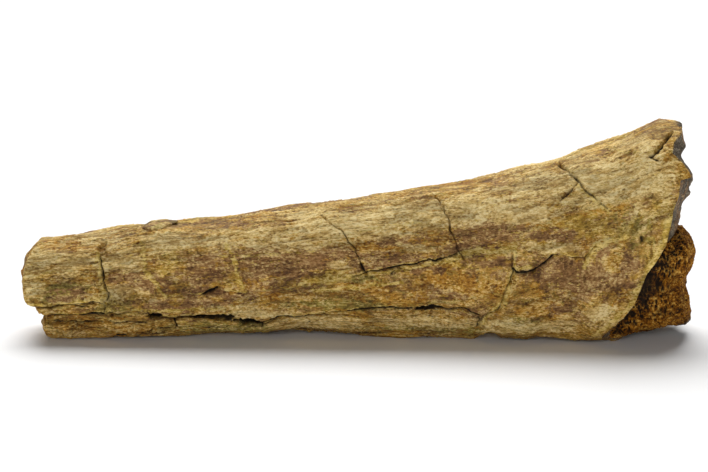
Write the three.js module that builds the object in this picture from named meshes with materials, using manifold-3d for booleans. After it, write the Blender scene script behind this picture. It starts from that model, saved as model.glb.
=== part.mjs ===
// A section of fossil limb bone: a broken shaft that flares towards one end, lying on its underside.
// Millimetres. +X runs along the bone to the flared end, +Z is up and -Y is the well kept face.
import * as THREE from 'three';
import { mergeVertices } from 'three/addons/utils/BufferGeometryUtils.js';
import Module from 'manifold-3d';

const wasm = await Module();
wasm.setup();

// Driving dimensions
const BUTT_END = -149.3;          // the furthest point of the narrow end
const SPONGY_END = 149.4;         // the furthest point of the spongy bone at the flared end
const FLARE_TOP = 95.3;           // the highest point of the flare
const SHAFT_HALF_DEPTH = 20;      // half the thickness at the narrow end
const FLARE_HALF_DEPTH = 31;      // half the thickness at the flare
const CREST_ROUNDNESS = 0.84;     // 1 is an ellipse, smaller is squarer
const EDGE_BEVEL = 2.5;           // worn edge of the narrow end
const LUMP = 0.45;                // height of the low swellings all over the surface
const FACE_LUMP = 1;              // height of the lumps on the broken faces

// Heights of the crest and of the underside, as [x, z]
const CREST = [
  [-150, 41.4], [-139, 42.4], [-120, 45.4], [-97, 48.9], [-84, 50.3], [-70, 51.0], [-41, 54.6], [-5, 59.8],
  [30, 65.6], [65, 72.2], [90, 79.0], [104, 83.9], [118, 89.2], [128, 93.0], [135, FLARE_TOP],
  [150, FLARE_TOP],
];
const UNDERSIDE = [
  [-150, -1.5], [-105, -1.5], [-62, 0.5], [-45, 1.2], [-25, 2.0], [-7, 1.0], [20, -1.5], [60, -0.5],
  [100, -2.5], [120, -0.5], [150, 7.0],
];
const HALF_DEPTH = [
  [-150, SHAFT_HALF_DEPTH], [-100, 22], [0, 25], [60, 27], [120, FLARE_HALF_DEPTH], [150, FLARE_HALF_DEPTH],
];
const FOOT_ROUNDNESS = [
  [-150, 0.68], [-60, 0.72], [40, 0.7], [52, 0.52], [59, 0.6], [66, 0.48], [80, 0.5], [150, 0.5],
];

// The two broken ends, as [z, x]
const BUTT_BREAK = [
  [0, -137], [2.5, -140], [5.7, -140.8], [8.2, -140.2], [12.2, -139.6], [12.8, -142.9], [15.7, -144.1],
  [16.6, -147.6], [19.8, -148.7], [25.2, BUTT_END], [29.9, -148.6], [36.3, -145.8], [39.2, -143.2],
  [44, -136],
];
const BUTT_LEAN = 0.15;           // how far that face leans back for each millimetre from its middle
const BUTT_MIDDLE = 20;           // height of the middle of each broken face
const FLARE_MIDDLE = 52;

const FRONT_RIM = [
  [0, 101], [4, 104], [11.6, 112.2], [15.1, 116.2], [20.5, 120.2], [27.7, 123], [34, 124.8], [39.2, 128.5],
  [46.7, 132.5], [54.1, 134], [61.6, 135.5], [68.1, 137.8], [74.6, 138.5], [75.9, 143.2], [78.3, 142.5],
  [81.1, 140], [83.8, 139], [87.7, 136.8], [88.9, 133.8], [91, 134.8], [96, 136],
];
const MIDDLE_RIM = [
  [0, 118], [20, 126], [40, 137], [47, 140], [54, 142.5], [60, 144], [67, 146], [76, 146], [80, 143.5],
  [84, 145.5], [88, 142.7], [92, 142], [96, 136],
];
const BACK_RIM = [
  [0, 108], [18, 117], [30, 121], [42, 131], [55, 134], [66, 139], [78, 137], [86, 140], [96, 136],
];
const FACE_START = -27;           // the broken face slants back from the front rim between these depths
const FACE_END = -9;
const BACK_FACE_START = 8;
const BACK_FACE_END = 26;

// The spongy bone that stands out of the flared end
const SPONGY_RIGHT = [
  [0, 128], [3.1, 139.8], [5, 144.2], [7.2, 148.1], [10, 148.6], [15.4, 148.2], [21.3, 146.3],
  [25.8, 146.8], [33.5, 148.4], [41.6, SPONGY_END], [44.7, 148], [50, 142],
];
const SPONGY_ROOT = 88;           // where it is buried in the compact bone
const SPONGY_TOP = 50;
const SPONGY_INSET = 6;           // how far it lies under the outer surface of the compact bone
const SPONGY_BOTTOM_GAP = 1.5;    // how far its bottom stays above the bone's underside
const SPONGY_CURVE = 0.01;        // how fast its end curves back away from its middle
const SPONGY_END_LUMP = 2.5;      // how much stronger the swellings are on its end
const SPONGY_LUMP = 1.1;          // height of its own swellings and hollows

// Smooth curve through [position, value] points, read at one position
function along(points, position) {
  const last = points.length - 1;
  const at = Math.min(Math.max(position, points[0][0]), points[last][0]);
  let i = 0;
  while (i < last - 1 && points[i + 1][0] <= at) i += 1;
  const slope = (k) => (points[k + 1][1] - points[k][1]) / (points[k + 1][0] - points[k][0]);
  const tangent = (k) => {
    if (k === 0) return slope(0);
    if (k === last) return slope(last - 1);
    return slope(k - 1) * slope(k) > 0 ? (slope(k - 1) + slope(k)) / 2 : 0;
  };
  const step = points[i + 1][0] - points[i][0];
  const s = (at - points[i][0]) / step;
  const rise = 3 * s ** 2 - 2 * s ** 3;
  return (1 - rise) * points[i][1] + rise * points[i + 1][1]
    + (s ** 3 - 2 * s ** 2 + s) * step * tangent(i) + (s ** 3 - s ** 2) * step * tangent(i + 1);
}

// Straight-line reading of [position, value] points, for outlines with sharp corners
function alongStraight(points, position) {
  let i = 0;
  while (i < points.length - 2 && points[i + 1][0] <= position) i += 1;
  const [[a, low], [b, high]] = [points[i], points[i + 1]];
  return THREE.MathUtils.lerp(low, high, THREE.MathUtils.clamp((position - a) / (b - a), 0, 1));
}

// Half-height and mid-height of the bone at x
function heightAt(x) {
  const top = along(CREST, x);
  const bottom = along(UNDERSIDE, x);
  return { mid: (top + bottom) / 2, half: (top - bottom) / 2 };
}

// Point of the cross section: angle 0 is the crest and a quarter turn is the front face
function section(x, angle) {
  const { mid, half } = heightAt(x);
  const rise = Math.cos(angle);
  const side = Math.sin(angle);
  const power = rise > 0 ? CREST_ROUNDNESS : along(FOOT_ROUNDNESS, x);
  return {
    y: -Math.sign(side) * along(HALF_DEPTH, x) * Math.abs(side) ** CREST_ROUNDNESS,
    z: mid + Math.sign(rise) * half * Math.abs(rise) ** power,
  };
}

// Depth of the front face at a place given by x and z
function frontFace(x, z) {
  const { mid, half } = heightAt(x);
  const power = z > mid ? CREST_ROUNDNESS : along(FOOT_ROUNDNESS, x);
  const rise = Math.min(Math.abs(z - mid) / half, 0.995) ** (1 / power);
  return -along(HALF_DEPTH, x) * Math.sqrt(1 - rise ** 2) ** CREST_ROUNDNESS;
}

// The flared end's broken face: the front rim, a slanting face behind it, and the back rim
function flareBreak(y, z) {
  const slant = THREE.MathUtils.smoothstep(y, FACE_START, FACE_END);
  const turn = THREE.MathUtils.smoothstep(y, BACK_FACE_START, BACK_FACE_END);
  const frontPart = THREE.MathUtils.lerp(alongStraight(FRONT_RIM, z), alongStraight(MIDDLE_RIM, z), slant);
  return THREE.MathUtils.lerp(frontPart, alongStraight(BACK_RIM, z), turn);
}

// Where the surface at one angle meets the broken face, found by stepping towards it
const RIM_STEPS = 40;

function rimAt(angle, face) {
  let x = 0;
  for (let i = 0; i < RIM_STEPS; i += 1) {
    const { y, z } = section(x, angle);
    x += 0.5 * (face(y, z) - x);
  }
  return x;
}

// The narrow end's broken face
const buttBreak = (y, z) => alongStraight(BUTT_BREAK, z) + BUTT_LEAN * Math.abs(y);

// Low swellings, as a sum of slow waves in all three directions
function lump(x, y, z) {
  const slow = Math.sin(x / 11 + z / 7) * Math.cos(y / 9 - x / 17);
  const quick = Math.sin(x / 5.3 - z / 4.1 + y / 6);
  return LUMP * (slow + 0.5 * quick);
}

// A sphere's grid bent to a shape: place(turn, travel) gives each point, travel running end to end
function bentSphere(around, lengthwise, place) {
  const geometry = new THREE.SphereGeometry(1, around, lengthwise);
  const { position, uv } = geometry.attributes;
  for (let i = 0; i < position.count; i += 1) {
    const turn = (1 - uv.getX(i)) % 1;
    const travel = Math.round((1 - uv.getY(i)) * lengthwise);
    const point = place(travel === 0 || travel === lengthwise ? 0 : turn, travel);
    position.setXYZ(i, point.x, point.y, point.z);
  }
  return geometry;
}

// Compact bone: the surface between the two breaks, closed by rings that shrink across each broken face
const AROUND = 50;
const LENGTHWISE = 52;
const FACE_RINGS = 5;
const FRONT_CROWDING = 0.35;      // crowds the grid towards the front face

function compactBone() {
  const place = (turn, ring) => {
    const angle = 2 * Math.PI * turn + FRONT_CROWDING * (Math.cos(2 * Math.PI * turn) - 1);
    const left = rimAt(angle, buttBreak);
    const right = rimAt(angle, flareBreak);
    if (ring < FACE_RINGS) return brokenFace(left, angle, ring / FACE_RINGS, buttBreak, BUTT_MIDDLE);
    if (ring > LENGTHWISE - FACE_RINGS) {
      return brokenFace(right, angle, (LENGTHWISE - ring) / FACE_RINGS, flareBreak, FLARE_MIDDLE);
    }
    const s = (ring - FACE_RINGS) / (LENGTHWISE - 2 * FACE_RINGS);
    const x = THREE.MathUtils.lerp(left, right, s);
    const { y, z } = section(x, angle);
    const worn = 1 - EDGE_BEVEL / SHAFT_HALF_DEPTH * (ring === FACE_RINGS ? 1 : 0);
    const swell = 1 + lump(x, y, z) / SHAFT_HALF_DEPTH;
    return { x, y: y * worn * swell, z: THREE.MathUtils.lerp(heightAt(x).mid, z, swell) };
  };
  return bentSphere(AROUND, LENGTHWISE, place);
}

// One point of a broken face, at a share of the way from its middle to its rim
function brokenFace(rimX, angle, share, face, middleHeight) {
  const rim = section(rimX, angle);
  const y = rim.y * share * (1 - EDGE_BEVEL / SHAFT_HALF_DEPTH * share);
  const z = THREE.MathUtils.lerp(middleHeight, rim.z, share);
  const roughness = FACE_LUMP * Math.sin(y / 2.9 + z / 3.7) * Math.cos(z / 5.1 - y / 4.3);
  return { x: face(y, z) + roughness * (1 - share), y, z };
}

// Spongy bone: a rough knob inset under the outer surface, ending in its own worn outline
const SPONGY_AROUND = 36;
const SPONGY_RINGS = 24;
const SPONGY_SHOULDER = 0.7;      // share of the grid that runs along the knob; the rest closes its end
const SPONGY_ROUNDING = 0.12;     // share of the grid over which its buried root rounds off
const SPONGY_SQUARENESS = 0.62;
const SPONGY_RADIUS = 20;         // half its size, that its swellings are measured against

function spongyBone() {
  const place = (turn, ring) => {
    const angle = 2 * Math.PI * turn;
    const travel = ring / SPONGY_RINGS;
    const alongKnob = Math.min(travel / SPONGY_SHOULDER, 1);
    const closing = Math.max(travel - SPONGY_SHOULDER, 0) / (1 - SPONGY_SHOULDER);
    const reach = Math.sin(Math.min(travel / SPONGY_ROUNDING, 1) * Math.PI / 2) * (1 - closing);
    const x0 = THREE.MathUtils.lerp(SPONGY_ROOT, SPONGY_END, alongKnob);
    const bottom = Math.max(along(UNDERSIDE, x0) + SPONGY_BOTTOM_GAP, 0);
    const mid = (SPONGY_TOP + bottom) / 2;
    const rise = Math.sign(Math.cos(angle)) * Math.abs(Math.cos(angle)) ** SPONGY_SQUARENESS;
    const side = Math.sign(Math.sin(angle)) * Math.abs(Math.sin(angle)) ** SPONGY_SQUARENESS;
    const rough = 1 + (spongeLump(x0, angle) + lump(x0, 9 * side, 9 * rise)) / SPONGY_RADIUS;
    const z = mid + (SPONGY_TOP - mid) * reach * rise * rough;
    const y = -(along(HALF_DEPTH, x0) - SPONGY_INSET) * reach * side * rough;
    const endLump = SPONGY_END_LUMP * lump(2 * z, y, 3 * y) * (1 - Math.abs(side) * reach);
    const end = along(SPONGY_RIGHT, z) - SPONGY_CURVE * y ** 2 + endLump;
    return { x: THREE.MathUtils.lerp(SPONGY_ROOT, end, alongKnob), y, z };
  };
  return bentSphere(SPONGY_AROUND, SPONGY_RINGS, place);
}

// Swellings and hollows round the knob of spongy bone
const spongeLump = (x, angle) => SPONGY_LUMP * Math.sin(5 * angle + x / 4) * Math.cos(x / 6 - 2 * angle);

// Closed geometry to a solid that can be joined and cut
function toSolid(geometry) {
  const bare = geometry.clone();
  bare.deleteAttribute('normal');
  bare.deleteAttribute('uv');
  const merged = mergeVertices(bare, 1e-4);
  return new wasm.Manifold(new wasm.Mesh({
    numProp: 3,
    vertProperties: new Float32Array(merged.attributes.position.array),
    triVerts: new Uint32Array(merged.index.array),
  }));
}

// Solid back to a geometry with flat facets
function toGeometry(solid) {
  const mesh = solid.getMesh();
  const geometry = new THREE.BufferGeometry();
  geometry.setAttribute('position', new THREE.BufferAttribute(new Float32Array(mesh.vertProperties), 3));
  geometry.setIndex(new THREE.BufferAttribute(new Uint32Array(mesh.triVerts), 1));
  return geometry;
}

// A groove along a line of [x, z, width] points: a box bent to follow the front face, or the back one. A
// crack narrows inwards. A broad groove has rows across it, to follow the curve of the bone, and stands
// further clear of the surface.
const CRACK_FLOOR = 0.6;          // width of a crack's floor and of its mouth, as a share of its width
const CRACK_MOUTH = 1.15;
const CRACK_CLEARANCE = 2.5;
const BROAD_CLEARANCE = 15;
const BROAD_ROWS = 4;

function groove(line, depth, { rows = 1, clearance = CRACK_CLEARANCE, face = 1 } = {}) {
  const steps = line.length - 1;
  const geometry = new THREE.BoxGeometry(steps, 1, 1, steps, rows, 1);
  const { position } = geometry.attributes;
  for (let i = 0; i < position.count; i += 1) {
    const k = Math.round(position.getX(i) + steps / 2);
    const before = line[Math.max(k - 1, 0)];
    const after = line[Math.min(k + 1, steps)];
    const run = Math.hypot(after[0] - before[0], after[1] - before[1]);
    const inner = position.getZ(i) < 0;
    const widening = inner && rows === 1 ? CRACK_FLOOR : CRACK_MOUTH;
    const across = face * position.getY(i) * line[k][2] * widening;
    const x = line[k][0] - across * (after[1] - before[1]) / run;
    const z = line[k][1] + across * (after[0] - before[0]) / run;
    position.setXYZ(i, x, face * (frontFace(x, z) + (inner ? depth : -clearance)), z);
  }
  return geometry;
}

// Cracks on the front face, as lines of [x, z, width] points with their depth
const CRACKS = [
  {
    depth: 3.5,
    line: [
      [-112, 44, 1.6], [-112, 41.2, 4], [-111.5, 37, 1.2], [-110.8, 30.8, 1.4], [-108.5, 23.8, 1],
      [-110.5, 18.5, 0.5],
    ],
  },
  { depth: 2.5, line: [[-146, 16.6, 1], [-134.2, 16.2, 1.2], [-123.2, 18.3, 0.9], [-111, 18.9, 0.5]] },
  {
    depth: 2.5,
    line: [
      [-129, 12.1, 0.6], [-121.2, 13.2, 1], [-109, 14.2, 0.9], [-99.2, 14, 1], [-89, 13.6, 0.9],
    ],
  },
  {
    depth: 7,
    line: [
      [-91.4, 12.5, 1.6], [-87, 12.3, 2.8], [-80, 11.9, 1.3], [-73, 12.2, 1.2], [-66, 12.6, 1.9],
      [-54, 12.2, 2],
    ],
  },
  { depth: 9, line: [[-53.4, 9.4, 3], [-48, 9.1, 3.6], [-43.4, 7.8, 2]] },
  {
    depth: 3,
    line: [
      [-44, 9, 1], [-32, 12.9, 1], [-22.2, 13, 0.8], [-6.5, 15.1, 0.8], [8.2, 16.8, 1],
      [27, 17.2, 1.2],
    ],
  },
  { depth: 5, line: [[26.2, 17, 2], [32.9, 17.6, 3]] },
  { depth: 3, line: [[32, 17.6, 1.2], [46.5, 17.4, 1.1], [53.2, 14.6, 0.8]] },
  { depth: 2, line: [[-83.8, 21.8, 0.5], [-68.5, 23.1, 1], [-63, 25, 2], [-60.5, 25.6, 1]] },
  {
    depth: 1.8,
    line: [
      [-61.5, 25, 0.7], [-46.5, 23.8, 0.9], [-35.2, 25.6, 0.9], [-13.5, 27.6, 0.9], [-5.8, 28.9, 0.5],
    ],
  },
  { depth: 1.8, line: [[-15.8, 55.2, 0.5], [-7, 50.6, 0.8], [-1.2, 43.9, 0.9], [4.2, 32.6, 0.8]] },
  { depth: 1.8, line: [[33.8, 65, 0.5], [39.5, 57.4, 1], [40.2, 51.9, 1.2], [45.5, 39.5, 0.6]] },
  {
    depth: 2.4,
    line: [
      [-2.2, 31.3, 0.8], [4.8, 33.5, 1.2], [15.5, 35.9, 1.4], [34.2, 39.3, 1.6], [42.8, 42, 0.6],
    ],
  },
  { depth: 2.4, line: [[14.8, 32.7, 1], [18.8, 34.9, 0.8], [34.2, 36.6, 1.3], [42.8, 38, 0.6]] },
  {
    depth: 2.6,
    line: [
      [66.5, 45.5, 0.6], [67, 36, 1], [70.2, 33.8, 1.6], [76.5, 35.4, 1.5], [85.2, 42, 1.5],
      [92.5, 40.6, 1.2], [98.5, 40.9, 0.9], [101, 44.7, 0.5],
    ],
  },
  {
    depth: 2.6,
    line: [
      [67.4, 34.5, 1], [66.8, 28.8, 0.9], [63, 22, 1.4], [61.8, 18.1, 1.2], [56.8, 15.1, 1.4],
      [53.2, 9.3, 0.8],
    ],
  },
  { depth: 1.8, line: [[73.2, 20.2, 0.6], [77, 14, 0.9]] },
  { depth: 2.2, line: [[84, 20, 0.8], [83.6, 13.8, 1.8]] },
  { depth: 2, line: [[88.2, 78.3, 0.7], [95.5, 72.3, 1], [98.5, 69.1, 1.4], [107.2, 62.4, 0.6]] },
  { depth: 1.8, line: [[95.5, 72.5, 1], [90, 67.5, 1.1], [87.5, 65.1, 0.7]] },
  { depth: 2.4, line: [[135.5, 91.3, 1.3], [130.5, 87.5, 1.1], [125.4, 84.1, 0.9]] },
  { depth: 1.8, line: [[113.2, 50.7, 0.8], [115.8, 55.1, 0.6]] },
  { depth: 2.6, line: [[121.3, 50.7, 2], [122.1, 48.4, 2.2]] },
];

// The breaks that run right through come out on the back face, where a long drying crack joins them
const BACK_CRACKS = [
  { depth: 2, line: [[-111, 42, 0.8], [-113, 33, 1.4], [-110, 24, 1], [-114, 12, 0.8]] },
  { depth: 2.2, line: [[-88, 30, 0.6], [-60, 33, 1.2], [-30, 31, 1.5], [0, 35, 1.2], [28, 36, 0.6]] },
  { depth: 1.8, line: [[4, 56, 0.6], [8, 44, 1.1], [3, 35, 0.9], [9, 22, 0.7]] },
  { depth: 2.2, line: [[62, 66, 0.7], [66, 52, 1.3], [60, 40, 1.1], [70, 26, 1.4], [66, 12, 0.8]] },
  { depth: 2, line: [[66, 52, 0.9], [84, 56, 1.2], [104, 52, 1], [118, 60, 0.6]] },
];

// Upper edges of the layers that lie further back than the face above them, as [x, z]: the splinters below
// the long crack, and the layer under the lip of the narrow end
const LAYERS = [
  {
    setback: 1.8,
    edge: [
      [-146, 12.4], [-130, 12.2], [-112, 13.6], [-90, 12.6], [-66, 12.4], [-53, 11.5], [-44, 8.6],
      [-32, 12.8], [-6, 15.1], [27, 17.4], [53, 14.4],
    ],
  },
  { setback: 1.1, edge: [[-152, 18.6], [-141.5, 16.8], [-134.2, 16.4], [-123.2, 18.3], [-112, 18.9]] },
];
const LAYER_FLOOR = -4;           // the layers run down past the underside

function layerGroove({ setback, edge }) {
  const line = edge.map(([x, z]) => [x, (z + LAYER_FLOOR) / 2, z - LAYER_FLOOR]);
  return groove(line, setback, { rows: BROAD_ROWS, clearance: BROAD_CLEARANCE });
}

// Notch in the lower edge under the flare, seen as a gap against the table
const FOOT_NOTCH = [[59.2, -2, 6], [59.4, 4.6, 3.4]];
const FOOT_NOTCH_DEPTH = 9;

// Thin flake lying on the crest of the shaft, tilted along with it
const FLAKE_HALF_SIZE = [8.2, 5.5, 1.7];
const FLAKE_CENTRE = [-88, -3, 50.6];
const FLAKE_TILT = -0.1;
const FLAKE_AROUND = 16;
const FLAKE_RINGS = 8;

function crestFlake() {
  const geometry = new THREE.SphereGeometry(1, FLAKE_AROUND, FLAKE_RINGS);
  geometry.scale(...FLAKE_HALF_SIZE);
  geometry.rotateY(FLAKE_TILT);
  geometry.translate(...FLAKE_CENTRE);
  return geometry;
}

// The finished bone, cut flat where it rests
const BELOW = 40;                 // thickness of the block that cuts off what lies below the surface

function bone() {
  let solid = toSolid(compactBone()).add(toSolid(spongyBone())).add(toSolid(crestFlake()));
  for (const layer of LAYERS) solid = solid.subtract(toSolid(layerGroove(layer)));
  solid = solid.subtract(toSolid(groove(FOOT_NOTCH, FOOT_NOTCH_DEPTH)));
  for (const { line, depth } of CRACKS) solid = solid.subtract(toSolid(groove(line, depth)));
  for (const { line, depth } of BACK_CRACKS) {
    solid = solid.subtract(toSolid(groove(line, depth, { face: -1 })));
  }
  const below = new THREE.BoxGeometry(3 * SPONGY_END, 6 * FLARE_HALF_DEPTH, BELOW);
  return toGeometry(solid.subtract(toSolid(below.translate(0, 0, -BELOW / 2))));
}

const part = new THREE.Group();
const fossil = new THREE.MeshStandardMaterial({ color: 0x9c7a45, roughness: 0.82, metalness: 0 });
const boneMesh = new THREE.Mesh(bone(), fossil);
boneMesh.name = 'bone';
part.add(boneMesh);

export default part;
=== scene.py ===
import math

import bpy
import numpy as np
from bpy.props import FloatProperty, FloatVectorProperty, IntProperty, PointerProperty
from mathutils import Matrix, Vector


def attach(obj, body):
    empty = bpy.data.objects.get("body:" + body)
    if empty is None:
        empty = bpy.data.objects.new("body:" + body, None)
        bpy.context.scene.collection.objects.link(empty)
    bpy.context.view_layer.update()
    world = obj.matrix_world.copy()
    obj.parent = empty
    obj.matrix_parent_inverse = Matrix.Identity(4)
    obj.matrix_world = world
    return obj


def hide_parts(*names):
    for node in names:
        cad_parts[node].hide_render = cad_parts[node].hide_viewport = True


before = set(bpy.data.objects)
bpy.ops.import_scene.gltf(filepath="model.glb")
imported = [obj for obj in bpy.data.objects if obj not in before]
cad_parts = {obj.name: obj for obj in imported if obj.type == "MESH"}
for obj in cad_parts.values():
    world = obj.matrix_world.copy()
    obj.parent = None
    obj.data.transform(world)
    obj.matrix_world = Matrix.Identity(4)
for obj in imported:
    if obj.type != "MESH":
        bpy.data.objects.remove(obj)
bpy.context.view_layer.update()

MM = 0.001

bl_info = {
    "name": "Fossil bone section",
    "version": (1, 0, 0),
    "blender": (4, 5, 0),
    "location": "View3D > Sidebar > Fossil bone",
    "description": "Builds a weathered section of fossil limb bone and the stage that it lies on",
    "category": "Add Mesh",
}

# Main sizes
SHAFT_HALF_DEPTH = 20.0
FLARE_HALF_DEPTH = 31.0
FLARE_TOP = 95.3
CREST_ROUNDNESS = 0.84
EDGE_BEVEL = 1.2
LUMP = 0.45
STRAIGHT_RADIUS = 25.0
FRONT_CROWDING = 0.9

# Places along the bone where the spread of points round it is worked out
STATIONS = (-130.0, -60.0, 0.0, 60.0, 100.0, 140.0)

# How far each kind of relief on compact bone rises or, for pits and gaps, sinks
SWELL = 0.55
BANDS = 0.30
RIBS = 0.15
THREADS = 0.10
FLAKED_LAYERS = 0.40
CRUMBS = 0.36
PITS = 0.35
SPLINTERS = 0.45
SPLINTER_GAPS = 0.5
BITS = 1.1
VEIN_CRUST = 0.35

# Rings over each kind of face, and the rings and points round of the two small pieces
BUTT_RINGS = 34
JOINT_RINGS = 3
FLARE_RINGS = 48
FLAKE_GRID = (60, 72)
SPONGY_GRID = (260, 370)

# Broken faces
FACE_PORE_PITCH = 1.9
FACE_PORE_DEPTH = 1.0
FACE_SPONGY_TOP = 48.0            # height below which the middle of a broken face is spongy right across
FACE_STEP = 1.1                   # how far the steps behind the flared end's front strip are cut in
FACE_RECESS = 0.9                 # how far the spongy middle there lies in

# Heights of the crest and the underside and half the thickness, as (x, value)
CREST = [
    (-150, 41.4), (-139, 42.4), (-120, 45.4), (-97, 48.9), (-84, 50.3), (-70, 51.0), (-41, 54.6),
    (-5, 59.8), (30, 65.6), (65, 72.2), (90, 79.0), (104, 83.9), (118, 89.2), (128, 93.0),
    (135, FLARE_TOP), (150, FLARE_TOP),
]
UNDERSIDE = [
    (-150, -1.5), (-105, -1.5), (-62, 0.5), (-45, 1.2), (-25, 2.0), (-7, 1.0), (20, -1.5), (60, -0.5),
    (100, -2.5), (120, -0.5), (150, 7.0),
]
HALF_DEPTH = [
    (-150, SHAFT_HALF_DEPTH), (-100, 22), (0, 25), (60, 27), (120, FLARE_HALF_DEPTH),
    (150, FLARE_HALF_DEPTH),
]
FOOT_ROUNDNESS = [
    (-150, 0.68), (-60, 0.72), (40, 0.7), (52, 0.52), (59, 0.6), (66, 0.48), (76, 0.52), (84, 0.62),
    (94, 0.62), (104, 0.5), (150, 0.5),
]

# Outlines of the broken ends, as (z, x)
BUTT_BREAK = [
    (0, -137), (2.5, -140), (5.7, -140.8), (8.2, -140.2), (12.2, -139.6), (12.8, -142.9), (15.7, -144.1),
    (16.6, -147.6), (19.8, -148.7), (25.2, -149.3), (29.9, -149.2), (36.3, -147.6), (39.5, -145.2),
    (42, -142.2), (45, -137.5),
]
FRONT_RIM = [
    (0, 101), (4, 104), (11.6, 112.2), (15.1, 116.2), (20.5, 120.2), (27.7, 123), (34, 124.8),
    (39.2, 128.5), (46.7, 132.5), (54.1, 134), (61.6, 135.5), (68.1, 137.8), (74.6, 138.5), (75.9, 143.2),
    (78.3, 142.0), (81.1, 139.6), (83, 136.8), (85, 133.6), (88.9, 131.6), (92, 132.6), (96, 134.5),
]
MIDDLE_RIM = [
    (0, 118), (20, 126), (40, 137), (46, 139.5), (48.4, 140.5), (57.7, 141.5), (67, 145.2), (71.5, 146.5),
    (74.2, 145.8), (80.5, 141.2), (83, 141), (86.2, 143.6), (89, 142.2), (92, 141.8), (94.6, 141.4),
    (96, 136),
]
BACK_RIM = [
    (0, 108), (18, 117), (30, 121), (42, 131), (55, 134), (66, 139), (78, 137), (86, 140), (96, 136),
]
FACE_MIDDLE_HIGHEST = 52.0        # height that a broken face closes at, at most
FRONT_SLANT = (-27, -9)           # depths between which the broken face slants back from the front rim
BACK_SLANT = (8, 26)

# Loose flake on the crest
FLAKE_CENTRE = (-87.3, -3.4, 50.0)
FLAKE_HALF_SIZE = (8.2, 6.4, 1.5)
FLAKE_TILT = 0.17

# The two old breaks where the lengths of the shaft meet, as (z, x)
LOWER_BREAK = [(0, -52), (8, -50), (15, -49.4), (25, -48.2), (30, -48.8), (37, -50.8), (44, -54), (60, -55)]
UPPER_BREAK = [
    (0, 52), (8, 50), (17, 46.5), (30, 46), (39.5, 45.5), (47.2, 42.8), (51.9, 40.2), (57.4, 39.5),
    (61.8, 37.5), (65, 33.8), (75, 32),
]

# Spongy bone
SPONGY_RIGHT = [
    (0, 128), (3.1, 139.8), (5, 144.2), (7.2, 148.1), (10, 148.6), (15.4, 148.2), (21.3, 146.3),
    (25.8, 145.6), (29, 146.2), (31, 147.9), (33.5, 148.4), (41.6, 149.4), (44.7, 148), (50, 142),
]
SPONGY_RIND = [(88, 0), (124, 1.5), (133, 4), (140, 5.5), (149, 9)]   # top of the pale rind below it
SPONGY_ROOT = 98.0
SPONGY_END = 149.4
SPONGY_SHOULDER = 0.55            # share of the rings that lie on the knob's side
SPONGY_TOP = 50.0
SPONGY_INSET = 6.0
SPONGY_SQUARENESS = 0.62

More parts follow.
